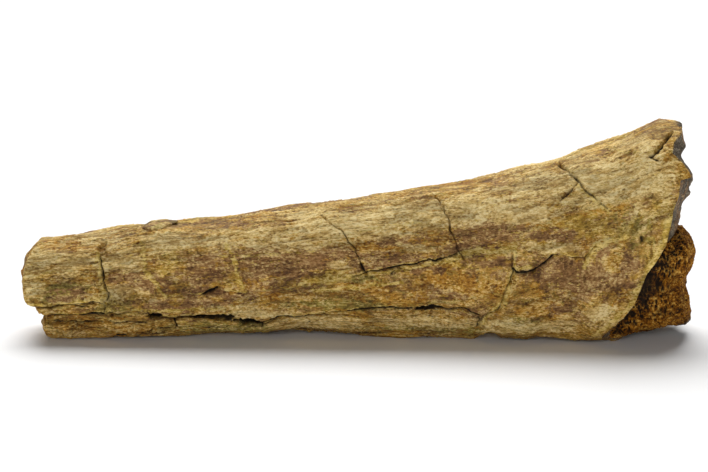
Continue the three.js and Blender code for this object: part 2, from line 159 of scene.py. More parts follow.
# Cracks on the front face: depth, then a line of (x, z, width) points
CRACKS = [
    (2.3, [(-112.4, 38.6, 0.5), (-111.9, 36.2, 0.7), (-112, 34.4, 0.8)]),
    (2.9, [(-111.6, 34.6, 0.7), (-111.3, 32.4, 1.1), (-110.9, 30.4, 1.0), (-111.2, 29.0, 0.6)]),
    (2.4, [(-111.0, 29.0, 0.7), (-109.4, 26.4, 0.9), (-108.1, 23.4, 0.7), (-109.2, 20.3, 0.6)]),
    (2.5, [(-146, 16.6, 0.9), (-141.5, 16.2, 0.9), (-134.2, 16.2, 1.0), (-123.2, 18.3, 0.7),
           (-111, 18.9, 1.1)]),
    (2.5, [(-129, 12.1, 0.5), (-121.2, 13.2, 0.8), (-111.5, 14.2, 0.7)]),
    (2.5, [(-109, 14.2, 0.8), (-99.2, 14, 0.8), (-89, 13.6, 0.7)]),
    (1.5, [(-103, 10.2, 0.5), (-90.8, 11.8, 0.7)]),
    (8.0, [(-90.8, 12.9, 1.4), (-89.5, 12.8, 3.0), (-86.5, 12.2, 2.8), (-85, 11.8, 1.2)]),
    (7.0, [(-85.4, 11.8, 1.0), (-80, 11.5, 0.9), (-73, 11.7, 0.9), (-66.5, 12.4, 1.8), (-60, 12.5, 2.2),
           (-54.2, 12.2, 2.0)]),
    (3.0, [(-79.6, 11.5, 0.9), (-79.2, 7.5, 0.8)]),
    (9.0, [(-52.6, 10.6, 1.8), (-50, 10.0, 3.2), (-45.5, 9.0, 3.4), (-42.6, 8.4, 2.0)]),
    (3.0, [(-44, 8.6, 1.0), (-41.2, 10.3, 0.8), (-32, 12.9, 1.1), (-22.2, 13, 0.6), (-6.5, 15.1, 0.7),
           (8.2, 16.8, 0.9), (27, 17.4, 1.1)]),
    (5.0, [(26.8, 16.9, 2.0), (29, 17.2, 2.6), (33, 17.4, 2.4)]),
    (3.0, [(32, 17.6, 1.0), (40.5, 17.1, 1.0), (46.5, 17.4, 0.9), (53.2, 14.6, 0.7)]),
    (2.0, [(-83.8, 21.8, 0.4), (-75, 22.4, 0.5), (-68.5, 23.1, 0.7)]),
    (3.2, [(-67.5, 23.2, 0.8), (-63.5, 24.8, 1.7), (-60.8, 25.8, 1.2)]),
    (1.5, [(-61.5, 25, 0.5), (-54, 23.8, 0.7), (-46.5, 23.8, 0.8), (-35.2, 25.6, 0.7), (-22.2, 26.2, 0.6),
           (-13.5, 27.6, 0.8), (-5.8, 28.9, 0.5)]),
    (2.1, [(-15.8, 55.2, 0.3), (-11, 53, 0.4), (-7, 50.6, 0.4), (-1.2, 43.9, 0.4), (2.4, 37, 0.5)]),
    (3.0, [(2.0, 37.2, 0.7), (2.6, 35.4, 1.1), (4.2, 32.6, 0.9)]),
    (1.9, [(33.8, 65, 0.4), (37.5, 61.8, 0.4), (39.5, 57.4, 0.6)]),
    (2.4, [(39.3, 57.6, 0.6), (40.0, 55.4, 0.9), (40.2, 51.9, 0.9), (42.2, 48.6, 0.6)]),
    (2.1, [(42.2, 48.8, 0.4), (44, 43, 0.4), (45.5, 39.5, 0.4)]),
    (3.3, [(-2.2, 31.3, 0.5), (4.8, 33.5, 0.7), (10, 34.6, 0.5), (15.5, 35.9, 1.0), (22.5, 36.8, 0.6),
           (30, 38.4, 0.6), (42.8, 42.1, 0.4)]),
    (2.6, [(31, 38.5, 0.6), (34.2, 39.3, 1.6), (37, 40.2, 0.7)]),
    (2.2, [(14.8, 32.7, 1.0), (16.8, 33.9, 1.2), (18.8, 34.9, 0.6)]),
    (1.4, [(18.8, 34.9, 0.5), (27.2, 36, 0.5), (35, 37.2, 1.2), (42.8, 38.3, 0.5)]),
    (2.2, [(66.5, 45.5, 0.5), (67, 40.2, 0.7), (67, 35.7, 0.9)]),
    (3.6, [(67, 35.9, 1.0), (70, 33.9, 1.5), (73.5, 34, 1.5), (76.5, 35.4, 1.0)]),
    (3.4, [(76.5, 35.4, 0.7), (81, 38.7, 1.3), (85.2, 42, 0.7)]),
    (2.4, [(85.2, 42, 0.6), (88, 41.8, 0.9), (92.5, 40.6, 0.7), (98.5, 40.9, 0.6), (101, 44.7, 0.5)]),
    (2.4, [(67.4, 35, 0.6), (66.9, 30, 0.8), (63.4, 23, 1.3), (62, 18.5, 1.0), (60.4, 17, 1.3),
           (56.8, 15.1, 1.2), (53.8, 12.5, 0.8), (53.0, 8.5, 1.0)]),
    (0.8, [(33, 19.8, 0.4), (46, 21.6, 0.6), (53, 23.1, 0.6), (62.5, 23.7, 0.4)]),
    (1.4, [(73.2, 20.2, 0.5), (75, 17.3, 0.7), (77, 14, 0.6)]),
    (2.2, [(84.2, 20.2, 0.6), (83.8, 16.5, 1.0), (83.5, 14, 1.5)]),
    (1.2, [(88.8, 12.2, 0.6), (88.6, 9.0, 0.6)]),
    (0.9, [(46, 29.8, 0.4), (52.2, 32.7, 0.7), (59.8, 35.9, 0.4)]),
    (2.5, [(88.2, 78.3, 0.6), (92, 76.3, 0.5), (95.5, 72.5, 1.0), (98.5, 69.1, 1.3), (103, 65.6, 0.7),
           (107.2, 62.4, 0.5)]),
    (2.5, [(95.5, 72.5, 0.7), (92.8, 70.4, 1.0), (90, 67.5, 0.8), (87.5, 65.1, 0.7)]),
    (3.4, [(136.5, 93, 0.8), (130.6, 88.0, 1.0), (125.6, 83.9, 0.9), (128.4, 82.9, 1.1)]),
    (2.2, [(139, 89, 0.6), (131, 80.5, 0.6), (128.6, 78, 0.4)]),
    (1.2, [(-102, 48.6, 0.5), (-98.5, 49.0, 0.9), (-95.5, 49.4, 0.9)]),
    (0.9, [(-79, 51.3, 0.6), (-72, 51.6, 0.7), (-67.5, 51.7, 0.4)]),
    (1.2, [(-140.5, 9.0, 0.5), (-131, 8.9, 0.9), (-124, 9.4, 0.6)]),
    (1.0, [(-134, 8.9, 0.5), (-133, 5.5, 0.7), (-129, 3.5, 0.5)]),
    (2.0, [(-108, 12.6, 0.5), (-105.5, 9.6, 0.8), (-103, 7.4, 0.6)]),
    (1.8, [(-126, 8.9, 0.4), (-118, 7.2, 0.7), (-111, 6.8, 0.5)]),
    (1.0, [(-78, 7.6, 0.4), (-66, 7.9, 0.6), (-56, 7.7, 0.4)]),
    (1.0, [(-10, 34.5, 0.4), (2, 37.0, 0.5)]),
    (0.8, [(0, 40, 0.4), (16, 43.5, 0.4), (30, 46, 0.4)]),
    (0.8, [(70, 56, 0.4), (84, 58.5, 0.5), (96, 60, 0.4)]),
    (1.0, [(98, 30, 0.4), (108, 33, 0.5), (116, 35, 0.4)]),
    (1.0, [(86, 24, 0.4), (97, 26, 0.5), (108, 29, 0.4)]),
    (0.9, [(126.2, 62.5, 0.4), (131.2, 63.7, 0.6), (136.5, 65, 0.5)]),
    (0.9, [(127, 58.3, 0.4), (132.4, 59, 0.6)]),
    (1.4, [(113.2, 50.7, 0.8), (115.8, 55.1, 0.5)]),
    (2.0, [(121.4, 50.4, 1.6), (122.0, 48.4, 1.8)]),
    (1.0, [(-21.5, 8.5, 0.5), (-21.8, 2.9, 0.6)]),
    (0.8, [(26.8, 11.4, 0.4), (24.8, 3.7, 0.5)]),
    (0.8, [(-54, 44.3, 0.5), (-50.8, 37.4, 0.6), (-48.8, 29.6, 0.5), (-48.2, 25.1, 0.5)]),
]

# Brown pits on the front face: (x, z, half length, half height, depth)
HOLLOWS = [
    (-111.4, 41.8, 2.2, 3.0, 1.9), (122.0, 49.5, 1.4, 2.0, 1.3), (-134.8, 11.6, 1.6, 0.9, 1.1),
    (-131.5, 9.3, 2.6, 0.9, 1.1), (-117.5, 5.0, 3.2, 0.9, 1.1), (-124.0, 7.5, 1.2, 1.0, 0.9),
    (-104.5, 11.5, 1.6, 1.2, 1.0), (-97.5, 8.0, 2.2, 0.9, 0.9), (84.0, 14.0, 1.0, 1.8, 1.0),
    (33.5, 38.6, 1.6, 1.0, 1.2),
]

# Heaps of crumbled crust on the front face: (x, z, half length, half height, strength)
RUBBLE = [
    (-107, 17, 7, 7, 1.0), (-112, 25, 3, 6, 0.8), (-45, 14, 11, 2.5, 0.9), (57, 13, 6, 4, 0.8),
    (-128, 7, 13, 5, 0.7), (116, 53, 6, 6, 0.8), (-95, 6, 14, 4, 0.6), (67, 34, 8, 2, 0.5),
    (-14, 31, 12, 2, 0.6), (40, 41, 10, 2, 0.6),
]

# The breaks come out on the back face, where a long drying crack joins them
BACK_CRACKS = [
    (2.0, [(-111, 42, 0.8), (-113, 33, 1.4), (-110, 24, 1.0), (-114, 12, 0.8)]),
    (2.2, [(-88, 30, 0.6), (-60, 33, 1.2), (-30, 31, 1.5), (0, 35, 1.2), (28, 36, 0.6)]),
    (1.8, [(4, 56, 0.6), (8, 44, 1.1), (3, 35, 0.9), (9, 22, 0.7)]),
    (2.2, [(62, 66, 0.7), (66, 52, 1.3), (60, 40, 1.1), (70, 26, 1.4), (66, 12, 0.8)]),
    (2.0, [(66, 52, 0.9), (84, 56, 1.2), (104, 52, 1.0), (118, 60, 0.6)]),
]

# Ledges, where the surface steps back below a line: how far, over what height, and the line as (x, z)
LEDGES = [
    (1.8, 60, [(-152, 14.5), (-139, 13.6), (-130, 12.2), (-112, 13.6), (-90, 12.6), (-66, 12.4), (-53, 11.5),
               (-44, 8.6), (-32, 12.8), (-6, 15.1), (27, 17.4), (53, 14.4), (56, 9)]),
    (1.3, 60, [(-152, 18.6), (-145.8, 18.6), (-141.5, 16.8), (-134.2, 16.4), (-123.2, 18.3), (-112.2, 18.9),
               (-104, 17.0)]),
    (0.9, 7, [(-86, 21.4), (-75, 22.4), (-68.5, 23.1), (-64, 25.0), (-60.8, 25.6), (-54, 23.8),
              (-46.5, 23.8), (-35.2, 25.6), (-22.2, 26.2), (-13.5, 27.6), (-5.8, 28.9), (0, 30.5)]),
    (0.8, 2.0, [(-3, 31.2), (4.8, 33.5), (15.5, 35.9), (22.5, 36.8), (34.2, 39.4), (44, 42.4)]),
    (0.7, 12, [(13, 32.0), (18.8, 34.9), (27.2, 36), (34.2, 37), (44, 38.5)]),
    (1.1, 11, [(66, 36.2), (70, 33.9), (73.5, 34), (76.5, 35.4), (81, 38.7), (85.2, 42), (92.5, 40.6),
               (100, 41.5)]),
    (0.8, 6, [(-80, 8.7), (-62, 8.3), (-54, 7.6)]),
    (0.9, 2.6, [(-141, 7.8), (-128, 8.5), (-112, 9.5), (-98, 10)]),
    (0.9, 4, [(29, 18.6), (46, 21.0), (53, 22.6), (64, 23.7)]),
    (0.6, 7, [(88, 78.6), (92, 76.5), (95.5, 72.7), (98.5, 69.3), (103, 65.8), (108, 62)]),
    (0.5, 6, [(100, 86), (112, 84), (124, 83.5), (131, 88)]),
    (0.5, 5, [(64, 50), (78, 52.5), (92, 52)]),
    (0.5, 6, [(-4, 49), (14, 52.5), (34, 55)]),
    (0.5, 5, [(-62, 38.5), (-44, 40), (-30, 41), (-16, 42)]),
    (0.5, 4, [(-140, 31), (-128, 32.5), (-116, 32)]),
    (0.8, 4, [(125, 62.2), (131.2, 63.7), (140, 65.6)]),
    (0.7, 3, [(-136, 43.0), (-116.2, 46), (-101, 48.2)]),
]

# Broken slabs in the lower front: how far each is set back, its top line and its bottom line as (x, z)
SLABS = [
    (1.5, [(-138.5, 16.2), (-126, 16.5), (-111, 17.8)], [(-138.5, 12.2), (-126, 12.9), (-111, 14.0)]),
    (1.2, [(-102, 14.3), (-91.2, 13.9)], [(-102, 9.9), (-91.2, 10.2)]),
    (1.2, [(-89.5, 10.6), (-80.2, 10.4)], [(-89.5, 6.7), (-80.2, 7.0)]),
    (1.5, [(-78.4, 11.0), (-54, 10.9)], [(-78.4, 7.7), (-54, 8.0)]),
    (0.5, [(-141.5, 8.4), (-130, 8.2), (-122, 8.9), (-106.5, 9.6)], [(-141.5, -3), (-112, -3), (-106.5, 3)]),
    (1.0, [(-107.5, 8.6), (-91, 9.2)], [(-107.5, 3.4), (-91, 4.4)]),
    (0.5, [(-41, 8.0), (-36, 10.6), (-30, 12.0), (-22, 12.2)], [(-41, 3), (-36, 3.6), (-30, 5), (-22, 8)]),
]
SPLINTER_HEIGHT = 3.2
SPLINTER_LENGTH = 21.0

# Arches under the front of the foot, as (x, height)
FOOT_ARCHES = [
    (-132, 0), (-120, 1.0), (-92, 1.8), (-80, 1.2), (-60, 0.8), (-46, 0.6), (-39, 2.0), (-33, 4.4),
    (-27, 4.0), (-20, 1.6), (-8, 0.6), (0, 0), (52.5, 0), (54.5, 2.6), (56.5, 4.6), (59, 5.6), (61.5, 4.0),
    (63.5, 0.8), (65, 0), (72, 0), (79, 2.8), (90, 2.4), (98, 0.6), (104, 0),
]

# Yellow mineral veins, as lines of (x, z, width) points
VEINS = [
    [(-94, 43.6, 2.0), (-92.8, 38.6, 1.6), (-91.5, 32.7, 1.8), (-87.5, 27.6, 1.4), (-83.8, 21.8, 1.0)],
    [(-113, 40, 2.0), (-112, 30, 2.2), (-109, 22, 2.6), (-112, 17, 2.0)],
    [(-56, 44, 2.0), (-53, 36, 2.0), (-50, 27, 1.6)],
    [(38, 40, 2.0), (52, 43, 3.0), (67, 44.5, 2.4)],
    [(68, 46, 1.6), (68.5, 35.6, 1.4), (75, 36.8, 1.2)],
    [(67.5, 34, 2.2), (66, 27, 1.8), (63, 20, 2.2), (58, 16, 1.6), (54, 10, 1.6)],
    [(98, 36, 2.0), (102, 46, 2.4), (108, 48, 2.0), (114, 50, 2.6), (118, 57, 2.2)],
    [(-25, 28, 2.4), (-14, 30, 3.0), (-6, 31, 2.2)],
    [(-7, 31, 1.8), (20, 34.6, 1.6), (43, 40, 1.4)],
    [(95, 71, 1.6), (101, 66, 1.6), (108, 61, 2.0)],
    [(103, 6, 1.6), (111, 13, 1.8), (118.5, 20, 2.0), (123, 31, 2.2), (127, 39, 2.4), (131, 47, 2.2),
     (134, 60, 1.8)],
    [(-146, 17.5, 1.2), (-134, 17.6, 1.2), (-122, 19.2, 1.6), (-111, 20.5, 2.0)],
    [(-20, 24.5, 1.4), (2, 27, 1.6), (20, 29, 1.4)],
    [(-98, 15.5, 1.4), (-76, 15.5, 1.2), (-58, 16.5, 1.6)],
]

# Soft patches of colour on the front face: (x, z, half length, half height, strength)
# The long thin umber patches along the crest at x -120 and x -66 are painted shade, where the crest turns
# away from the light. The rest are purple-brown stains.
UMBER_PATCHES = [
    (-34, 37, 22, 8, 1.0), (-66, 34, 10, 6, 1.0), (-103, 31, 7, 4, 0.8), (-90, 27, 11, 4, 0.9),
    (18, 47, 14, 4, 0.8), (56, 52, 16, 6, 1.0), (62, 38, 10, 3, 0.9), (96, 31, 22, 7, 1.0),
    (114, 31, 8, 6, 0.8), (84, 50, 10, 3, 0.8), (108, 43, 7, 3, 0.8), (-124, 22, 11, 3, 0.7),
    (60, 33, 8, 2, 0.8), (90, 17, 8, 3, 0.6), (74, 60, 12, 3, 0.6), (-120, 45.5, 18, 3, 0.5),
    (-64, 19, 18, 3, 0.7), (-70, 24, 7, 3, 0.9), (110, 24, 9, 4, 0.6), (-8, 41, 10, 3, 0.9),
    (-66, 52, 24, 3, 0.6), (-22, 44, 9, 3, 0.8), (50, 44, 12, 3, 0.8), (16, 38, 22, 4, 0.9),
    (116, 38, 8, 4, 0.9), (86, 38, 9, 3, 0.8), (-88, 16, 12, 3, 0.8), (-56, 23, 10, 3, 0.8),
    (40, 24, 10, 4, 0.5), (50, 15, 10, 3, 0.7), (62, 71, 14, 3, 0.6), (118, 59, 7, 3, 0.5),
]
# Cream patches are partly worn pale bone and partly painted highlight, along the swelling under the crest
# and on the upper face of the flare
PALE_AND_HIGHLIGHT_PATCHES = [
    (-46, 46, 24, 3.0, 0.7), (-10, 50, 20, 3.5, 1.0), (30, 57, 24, 4, 1.1), (-132, 36, 14, 5, 1.0),
    (-104, 37, 10, 4, 1.0), (80, 70, 12, 5, 1.0), (108, 73, 16, 8, 1.2), (102, 66, 12, 4, 1.0),
    (58, 60, 22, 4.5, 1.1), (124, 76, 10, 8, 1.1), (-42, 14, 13, 2, 0.9), (106, 17, 5, 3, 1.0),
    (-52, 17, 8, 2, 0.7), (120, 87, 9, 4, 0.8), (-20, 56, 24, 3, 0.7), (122, 62, 5, 4, 0.6),
    (-8, 37, 5, 2, 0.6), (24, 44, 8, 2, 0.8), (84, 45, 8, 2, 0.9), (14, 50, 10, 1.6, 0.9),
    (-120, 38, 10, 2, 0.8), (-28, 45, 16, 1.6, 0.9), (130, 70, 5, 5, 0.8), (-103, 24, 8, 2.5, 0.8),
    (-14, 9, 20, 3, 0.9), (69, 9, 12, 3, 0.8), (-141, 25, 5, 5, 0.7), (30, 10, 24, 3, 0.8),
    (-80, 45, 15, 3, 0.9), (85, 9, 8, 3, 0.8), (118, 10, 8, 4, 1.0), (-112, 44, 12, 3, 0.6),
]
ORANGE_PATCHES = [
    (50, 27, 16, 5, 1.0), (-122, 9, 10, 3, 0.9), (2, 26, 12, 3, 0.8), (8, 44, 14, 5, 0.9),
    (-98, 36, 9, 3, 0.8), (82, 17, 11, 4, 0.8), (-128, 42, 11, 2.5, 0.9), (103, 48, 8, 3, 0.8),
    (-45, 27, 8, 2, 0.7), (34, 48, 8, 3, 0.6), (-100, 5, 9, 3, 0.9), (-20, 51, 14, 2, 0.6),
    (96, 24, 9, 3, 0.7), (66, 58, 12, 3, 0.6), (110, 80, 8, 3, 0.5), (-118, 42, 6, 3, 0.6),
    (-30, 22, 14, 2, 0.7), (20, 22, 14, 3, 0.6),
]
OLIVE_PATCHES = [
    (-128, 23, 13, 3.5, 0.9), (118, 57, 9, 5, 0.8), (124, 46, 7, 6, 0.5), (-104, 16, 10, 3, 0.8),
    (44, 7, 12, 4, 0.6), (16, 7, 26, 2, 0.6), (72, 10, 9, 4, 0.8), (-92, 45, 10, 3, 0.3),
    (-60, 6, 24, 3, 0.7), (3, 30, 8, 2, 0.8), (-10, 19, 24, 3, 0.7), (100, 64, 10, 4, 0.5),
    (-60, 50, 10, 2, 0.5),
]
YELLOW_PATCHES = [
    (98, 56, 12, 4, 0.7), (130, 64, 5, 12, 0.7), (-12, 33, 10, 3, 0.9), (80, 47, 9, 3, 0.8),
    (-80, 38, 7, 4, 0.6), (126, 38, 3, 8, 0.8), (-24, 42, 8, 3, 0.8), (112, 36, 12, 3, 0.6),
    (66, 49, 16, 3, 0.7), (-50, 37, 4, 6, 0.8), (-54, 30, 4, 5, 0.7), (-84, 30, 3, 6, 0.7),
    (88, 42, 8, 2, 0.7), (106, 52, 10, 3, 0.7), (-140, 30, 5, 8, 0.6), (44, 38, 14, 2, 0.8),
]

# Finishes, each with its label, what it is for, and its dark, middle, light and pale tone
FINISHES = {
    "ochre": ("Ochre", "Main colour of the compact bone",
        (0.18, 0.092, 0.013), (0.41, 0.209, 0.033), (0.61, 0.348, 0.073), (0.90, 0.655, 0.27)),
    "umber": ("Umber", "Purple-brown stains",
        (0.110, 0.048, 0.017), (0.24, 0.113, 0.037), (0.37, 0.190, 0.072), (0.6, 0.4, 0.16)),
    "orange": ("Orange", "Iron-stained patches",
        (0.19, 0.062, 0.003), (0.43, 0.180, 0.014), (0.61, 0.315, 0.042), (0.82, 0.56, 0.19)),
    "olive": ("Olive", "Greenish stains",
        (0.115, 0.08, 0.013), (0.25, 0.195, 0.035), (0.42, 0.335, 0.075), (0.7, 0.57, 0.22)),
    "yellow": ("Yellow", "Yellow mineral stains",
        (0.22, 0.125, 0.01), (0.46, 0.270, 0.030), (0.68, 0.455, 0.080), (0.92, 0.70, 0.25)),
    # The cream finish serves worn pale patches and painted highlights
    "cream": ("Cream", "Worn pale patches",
        (0.31, 0.175, 0.050), (0.57, 0.358, 0.100), (0.81, 0.573, 0.205), (0.98, 0.80, 0.41)),
    "break": ("Break", "Broken faces of compact bone",
        (0.045, 0.031, 0.018), (0.098, 0.073, 0.046), (0.155, 0.122, 0.080), (0.32, 0.27, 0.19)),
    "sponge": ("Spongy bone", "Walls of the spongy bone",
        (0.045, 0.013, 0.001), (0.20, 0.070, 0.003), (0.40, 0.160, 0.012), (0.66, 0.38, 0.08)),
}
SHADES = ("Dark", "Middle", "Light", "Pale")

# Stains that drift over compact bone: the field, where it is bare, where it is full, strength and finish
DRIFTING_STAINS = (
    ("drift", 0.48, 0.40, 0.8, "umber"), ("drift", 0.53, 0.59, 0.85, "orange"),
    ("turn", 0.53, 0.60, 0.5, "yellow"), ("turn", 0.47, 0.40, 0.55, "olive"),
)

# Strengths of the listed patches, in the order that they are laid on
PATCH_STRENGTHS = (("olive", 0.8), ("orange", 0.75), ("yellow", 0.65), ("umber", 0.92), ("cream", 0.8))

# Depth of the finest relief, which only the materials hold, in metres
BUMP_DISTANCE = 0.0006

# Sun lights in degrees: how wide the light is, its lean from overhead and its lean to the side
OVERHEAD_ANGLES = (52, -30, -4)
FRONT_ANGLES = (22, 70, -14)

# How much light the floor gives back
FLOOR_SHADE = 0.92
PATCHES = {"umber": UMBER_PATCHES, "cream": PALE_AND_HIGHLIGHT_PATCHES, "orange": ORANGE_PATCHES, "olive": OLIVE_PATCHES,
           "yellow": YELLOW_PATCHES}


def smoothstep(value, low, high):
    """Rise from 0 to 1 between low and high, with level ends."""
    t = np.clip((value - low) / (high - low), 0.0, 1.0)
    return t * t * (3 - 2 * t)


def along(points, place):
    """Smooth curve through (position, value) points: a cubic on each stretch, level where it turns."""
    xs, ys = np.array(points, float).T
    place = np.clip(place, xs[0], xs[-1])
    i = np.clip(np.searchsorted(xs, place, side="right") - 1, 0, len(xs) - 2)
    slope = np.diff(ys) / np.diff(xs)
    tangent = np.empty_like(ys)
    tangent[1:-1] = np.where(slope[1:] * slope[:-1] > 0, (slope[1:] + slope[:-1]) / 2, 0)
    tangent[0] = slope[0]
    tangent[-1] = slope[-1]
    step = xs[i + 1] - xs[i]
    s = (place - xs[i]) / step
    rise = 3 * s**2 - 2 * s**3
    return ((1 - rise) * ys[i] + rise * ys[i + 1]
            + (s**3 - 2 * s**2 + s) * step * tangent[i] + (s**3 - s**2) * step * tangent[i + 1])


def along_straight(points, place):
    """Straight-line reading of (position, value) points, for outlines with sharp corners."""
    xs, ys = np.array(points, float).T
    return np.interp(place, xs, ys)


def lattice_value(cells, seed):
    """A value from -1 to 1 for each whole-number cell, mixed from its three numbers and the seed."""
    a, b, c = (cells[..., k].astype(np.int64).astype(np.uint32) for k in range(3))
    mixed = (a * np.uint32(374761393)) ^ (b * np.uint32(668265263)) ^ (c * np.uint32(2246822519))
    mixed ^= np.uint32(seed * 7919 + 13)
    mixed = (mixed ^ (mixed >> np.uint32(13))) * np.uint32(1274126177)
    mixed = (mixed ^ (mixed >> np.uint32(15))) * np.uint32(2654435761)
    mixed ^= mixed >> np.uint32(16)
    return mixed.astype(float) / 2147483648.0 - 1.0


def noise(places, seed):
    """Smooth noise from -1 to 1: lattice values blended over the eight corners round each place."""
    cells = np.floor(places).astype(np.int64)
    part = places - cells
    part = part**3 * (part * (part * 6 - 15) + 10)
    total = np.zeros(places.shape[:-1])
    for corner in np.ndindex(2, 2, 2):
        weight = np.prod(np.where(corner, part, 1 - part), axis=-1)
        total += weight * lattice_value(cells + np.array(corner), seed)
    return total


def fractal(places, octaves, seed):
    """Noise added up over finer and finer octaves, each half as strong and twice as fine."""
    total = np.zeros(places.shape[:-1])
    for k in range(octaves):
        total += noise(places * 2**k + 17.3 * k, seed + k) / 2**k
    return total / 1.5


def drawn(places, length, width):
    """Places measured in grains of this length along the bone and this width across it."""
    return places / np.array([length, width, width])


def pits(places, seed):
    """Distance from each place to the nearest of points scattered one to a cell."""
    cells = np.floor(places).astype(np.int64)
    nearest = np.full(places.shape[:-1], 9.0)
    for corner in np.ndindex(3, 3, 3):
        cell = cells + np.array(corner) - 1
        spot = np.stack([0.5 + 0.4 * lattice_value(cell, seed + k) for k in range(3)], axis=-1)
        nearest = np.minimum(nearest, np.linalg.norm(cell + spot - places, axis=-1))
    return nearest


def section(x, angle):
    """Cross section: a squared ellipse between crest and underside. Angle 0 is the crest, a quarter turn
    is the front face, and the lower half is squarer than the upper."""
    top = along(CREST, x)
    bottom = along(UNDERSIDE, x)
    rise = np.cos(angle)
    side = np.sin(angle)
    power = np.where(rise > 0, CREST_ROUNDNESS, along(FOOT_ROUNDNESS, x))
    y = -np.sign(side) * along(HALF_DEPTH, x) * np.abs(side) ** CREST_ROUNDNESS
    z = (top + bottom) / 2 + (top - bottom) / 2 * np.sign(rise) * np.abs(rise) ** power
    return y, z


def butt_break(y, z):
    """The narrow end's broken face: an outline read by height, leaning back away from the middle."""
    return along_straight(BUTT_BREAK, z) + 0.15 * np.abs(y)


def flare_break(y, z):
    """The flared end's broken face: front rim, slanting face and back rim, blended by depth."""
    slant = smoothstep(y, *FRONT_SLANT)
    turn = smoothstep(y, *BACK_SLANT)
    front = along_straight(FRONT_RIM, z) * (1 - slant) + along_straight(MIDDLE_RIM, z) * slant
    return front * (1 - turn) + along_straight(BACK_RIM, z) * turn


def lower_break(y, z):
    """The old break across the shaft, read by height."""
    return along_straight(LOWER_BREAK, z) + 0 * y


def upper_break(y, z):
    """The old break below the flare, read by height."""
    return along_straight(UPPER_BREAK, z) + 0 * y


def spread_angles(turns, x, crowding):
    """Angles at even steps of length round the section at x, with the front face crowded."""
    fine = np.linspace(0, 2 * np.pi, 2881)
    y, z = section(x + 0 * fine, fine)
    steps = np.hypot(np.diff(y), np.diff(z)) * (1 + crowding * smoothstep(np.sin(fine[1:]), -0.6, 0.3))
    length = np.concatenate([[0], np.cumsum(steps)])
    return np.interp(turns * length[-1], length, fine)


def angle_at(turns, x):
    """Angle of each column at each x, blended between the spreads at a few stations along the bone."""
    table = np.array([spread_angles(turns, station, FRONT_CROWDING) for station in STATIONS])
    place = np.clip(np.interp(x, STATIONS, np.arange(len(STATIONS))), 0, len(STATIONS) - 1.001)
    row = place.astype(int)
    part = place - row
    column = np.broadcast_to(np.arange(len(turns)), x.shape)
    return table[row, column] * (1 - part) + table[row + 1, column] * part


def rim_at(turns, face):
    """Where each column of the surface meets a face, found by stepping half of the way to it."""
    x = np.full(len(turns), float(np.mean(face(np.zeros(2), np.array([20.0, 40.0])))))
    for _ in range(60):
        x = x + 0.5 * (face(*section(x, angle_at(turns, x))) - x)
    return x


def line_distance(x, z, line):
    """Distance to a line of (x, z, width) points, and its width at the nearest place."""
    nearest = np.full(x.shape, 99.0)
    width = np.ones(x.shape)
    for (ax, az, aw), (bx, bz, bw) in zip(line[:-1], line[1:]):
        run = (bx - ax) ** 2 + (bz - az) ** 2
        t = np.clip(((x - ax) * (bx - ax) + (z - az) * (bz - az)) / run, 0, 1)
        distance = np.hypot(x - ax - t * (bx - ax), z - az - t * (bz - az))
        closer = distance < nearest
        nearest = np.where(closer, distance, nearest)
        width = np.where(closer, aw + t * (bw - aw), width)
    return nearest, width


def near_line(x, z, line, reach):
    """Which places lie in the box round a line, widened by reach."""
    points = np.array(line)
    low = points[:, :2].min(axis=0) - reach
    high = points[:, :2].max(axis=0) + reach
    return (x > low[0]) & (x < high[0]) & (z > low[1]) & (z < high[1])


def crack_field(x, z, wobble, gape, cracks):
    """Depth of all cracks at each place, and how dark they are: troughs with steep walls and crumbled lips,
    which pinch and open along their way unless they are deep."""
    depth = np.zeros(x.shape)
    dark = np.zeros(x.shape)
    for deep, line in cracks:
        at = near_line(x, z, line, 4.0)
        distance, width = line_distance(x[at], z[at], line)
        opened = 1 - (1 - gape[at]) * smoothstep(2.9 - deep, 0, 1.2)
        ragged = 0.45 if deep < 4 else 0.15
        half = np.maximum(0.45 * width * (1 + ragged * wobble[at]) * (0.4 + 0.6 * opened), 0.2)
        trough = 1 / (1 + (distance / half) ** 4)
        lip = np.exp(-((distance / (2.2 * half + 0.4)) ** 2))
        depth[at] = np.maximum(depth[at], deep * trough * opened + 0.07 * lip)
        dark[at] = np.maximum(dark[at], trough * (0.15 + 0.85 * opened) * min(1.0, 0.12 + deep / 4.5))
    return depth, np.clip(dark, 0, 1)


def ledge_field(x, z, ledges):
    """How far each place is set back under the ledges, and how near it is to an edge: the surface steps in
    just below each line, stays in for the ledge's reach and comes back out."""
    setback = np.zeros(x.shape)
    edge = np.zeros(x.shape)
    for drop, reach, line in ledges:
        first = line[0][0]
        last = line[-1][0]
        within = smoothstep(x, first - 1, first + 3) * (1 - smoothstep(x, last - 3, last + 1))
        below = along_straight(line, x) - z
        setback += drop * within * smoothstep(below, 0, 0.35) * (1 - smoothstep(below, reach, 1.5 * reach))
        edge = np.maximum(edge, within * np.exp(-(((below + 0.6) / 0.9) ** 2)))
    return setback, edge


def hollow_field(x, z, wobble):
    """How deep each place lies in the pits: ragged bowls with steep walls."""
    depth = np.zeros(x.shape)
    for cx, cz, half_length, half_height, deep in HOLLOWS:
        away = np.hypot((x - cx) / half_length, (z - cz) / half_height) + 0.2 * wobble
        depth = np.maximum(depth, deep * (1 - smoothstep(away, 0.6, 1.1)))
    return depth


def slab_field(x, z, slabs):
    """Slabs between their top and bottom lines: how far each place is set back, whether it lies on a slab,
    and how near it is to the gap round one."""
    level = np.zeros(x.shape)
    on_slab = np.zeros(x.shape)
    gap = np.zeros(x.shape)
    for setback, top, bottom in slabs:
        inward = np.minimum(along_straight(top, x) - z, z - along_straight(bottom, x))
        inward = np.minimum(inward, np.minimum(x - top[0][0], top[-1][0] - x))
        inside = smoothstep(inward, -0.1, 0.3)
        level = level * (1 - inside) + setback * inside
        on_slab = np.maximum(on_slab, inside)
        gap = np.maximum(gap, np.exp(-(((inward + 0.35) / 0.35) ** 2)))
    return level, on_slab, gap * (1 - on_slab)


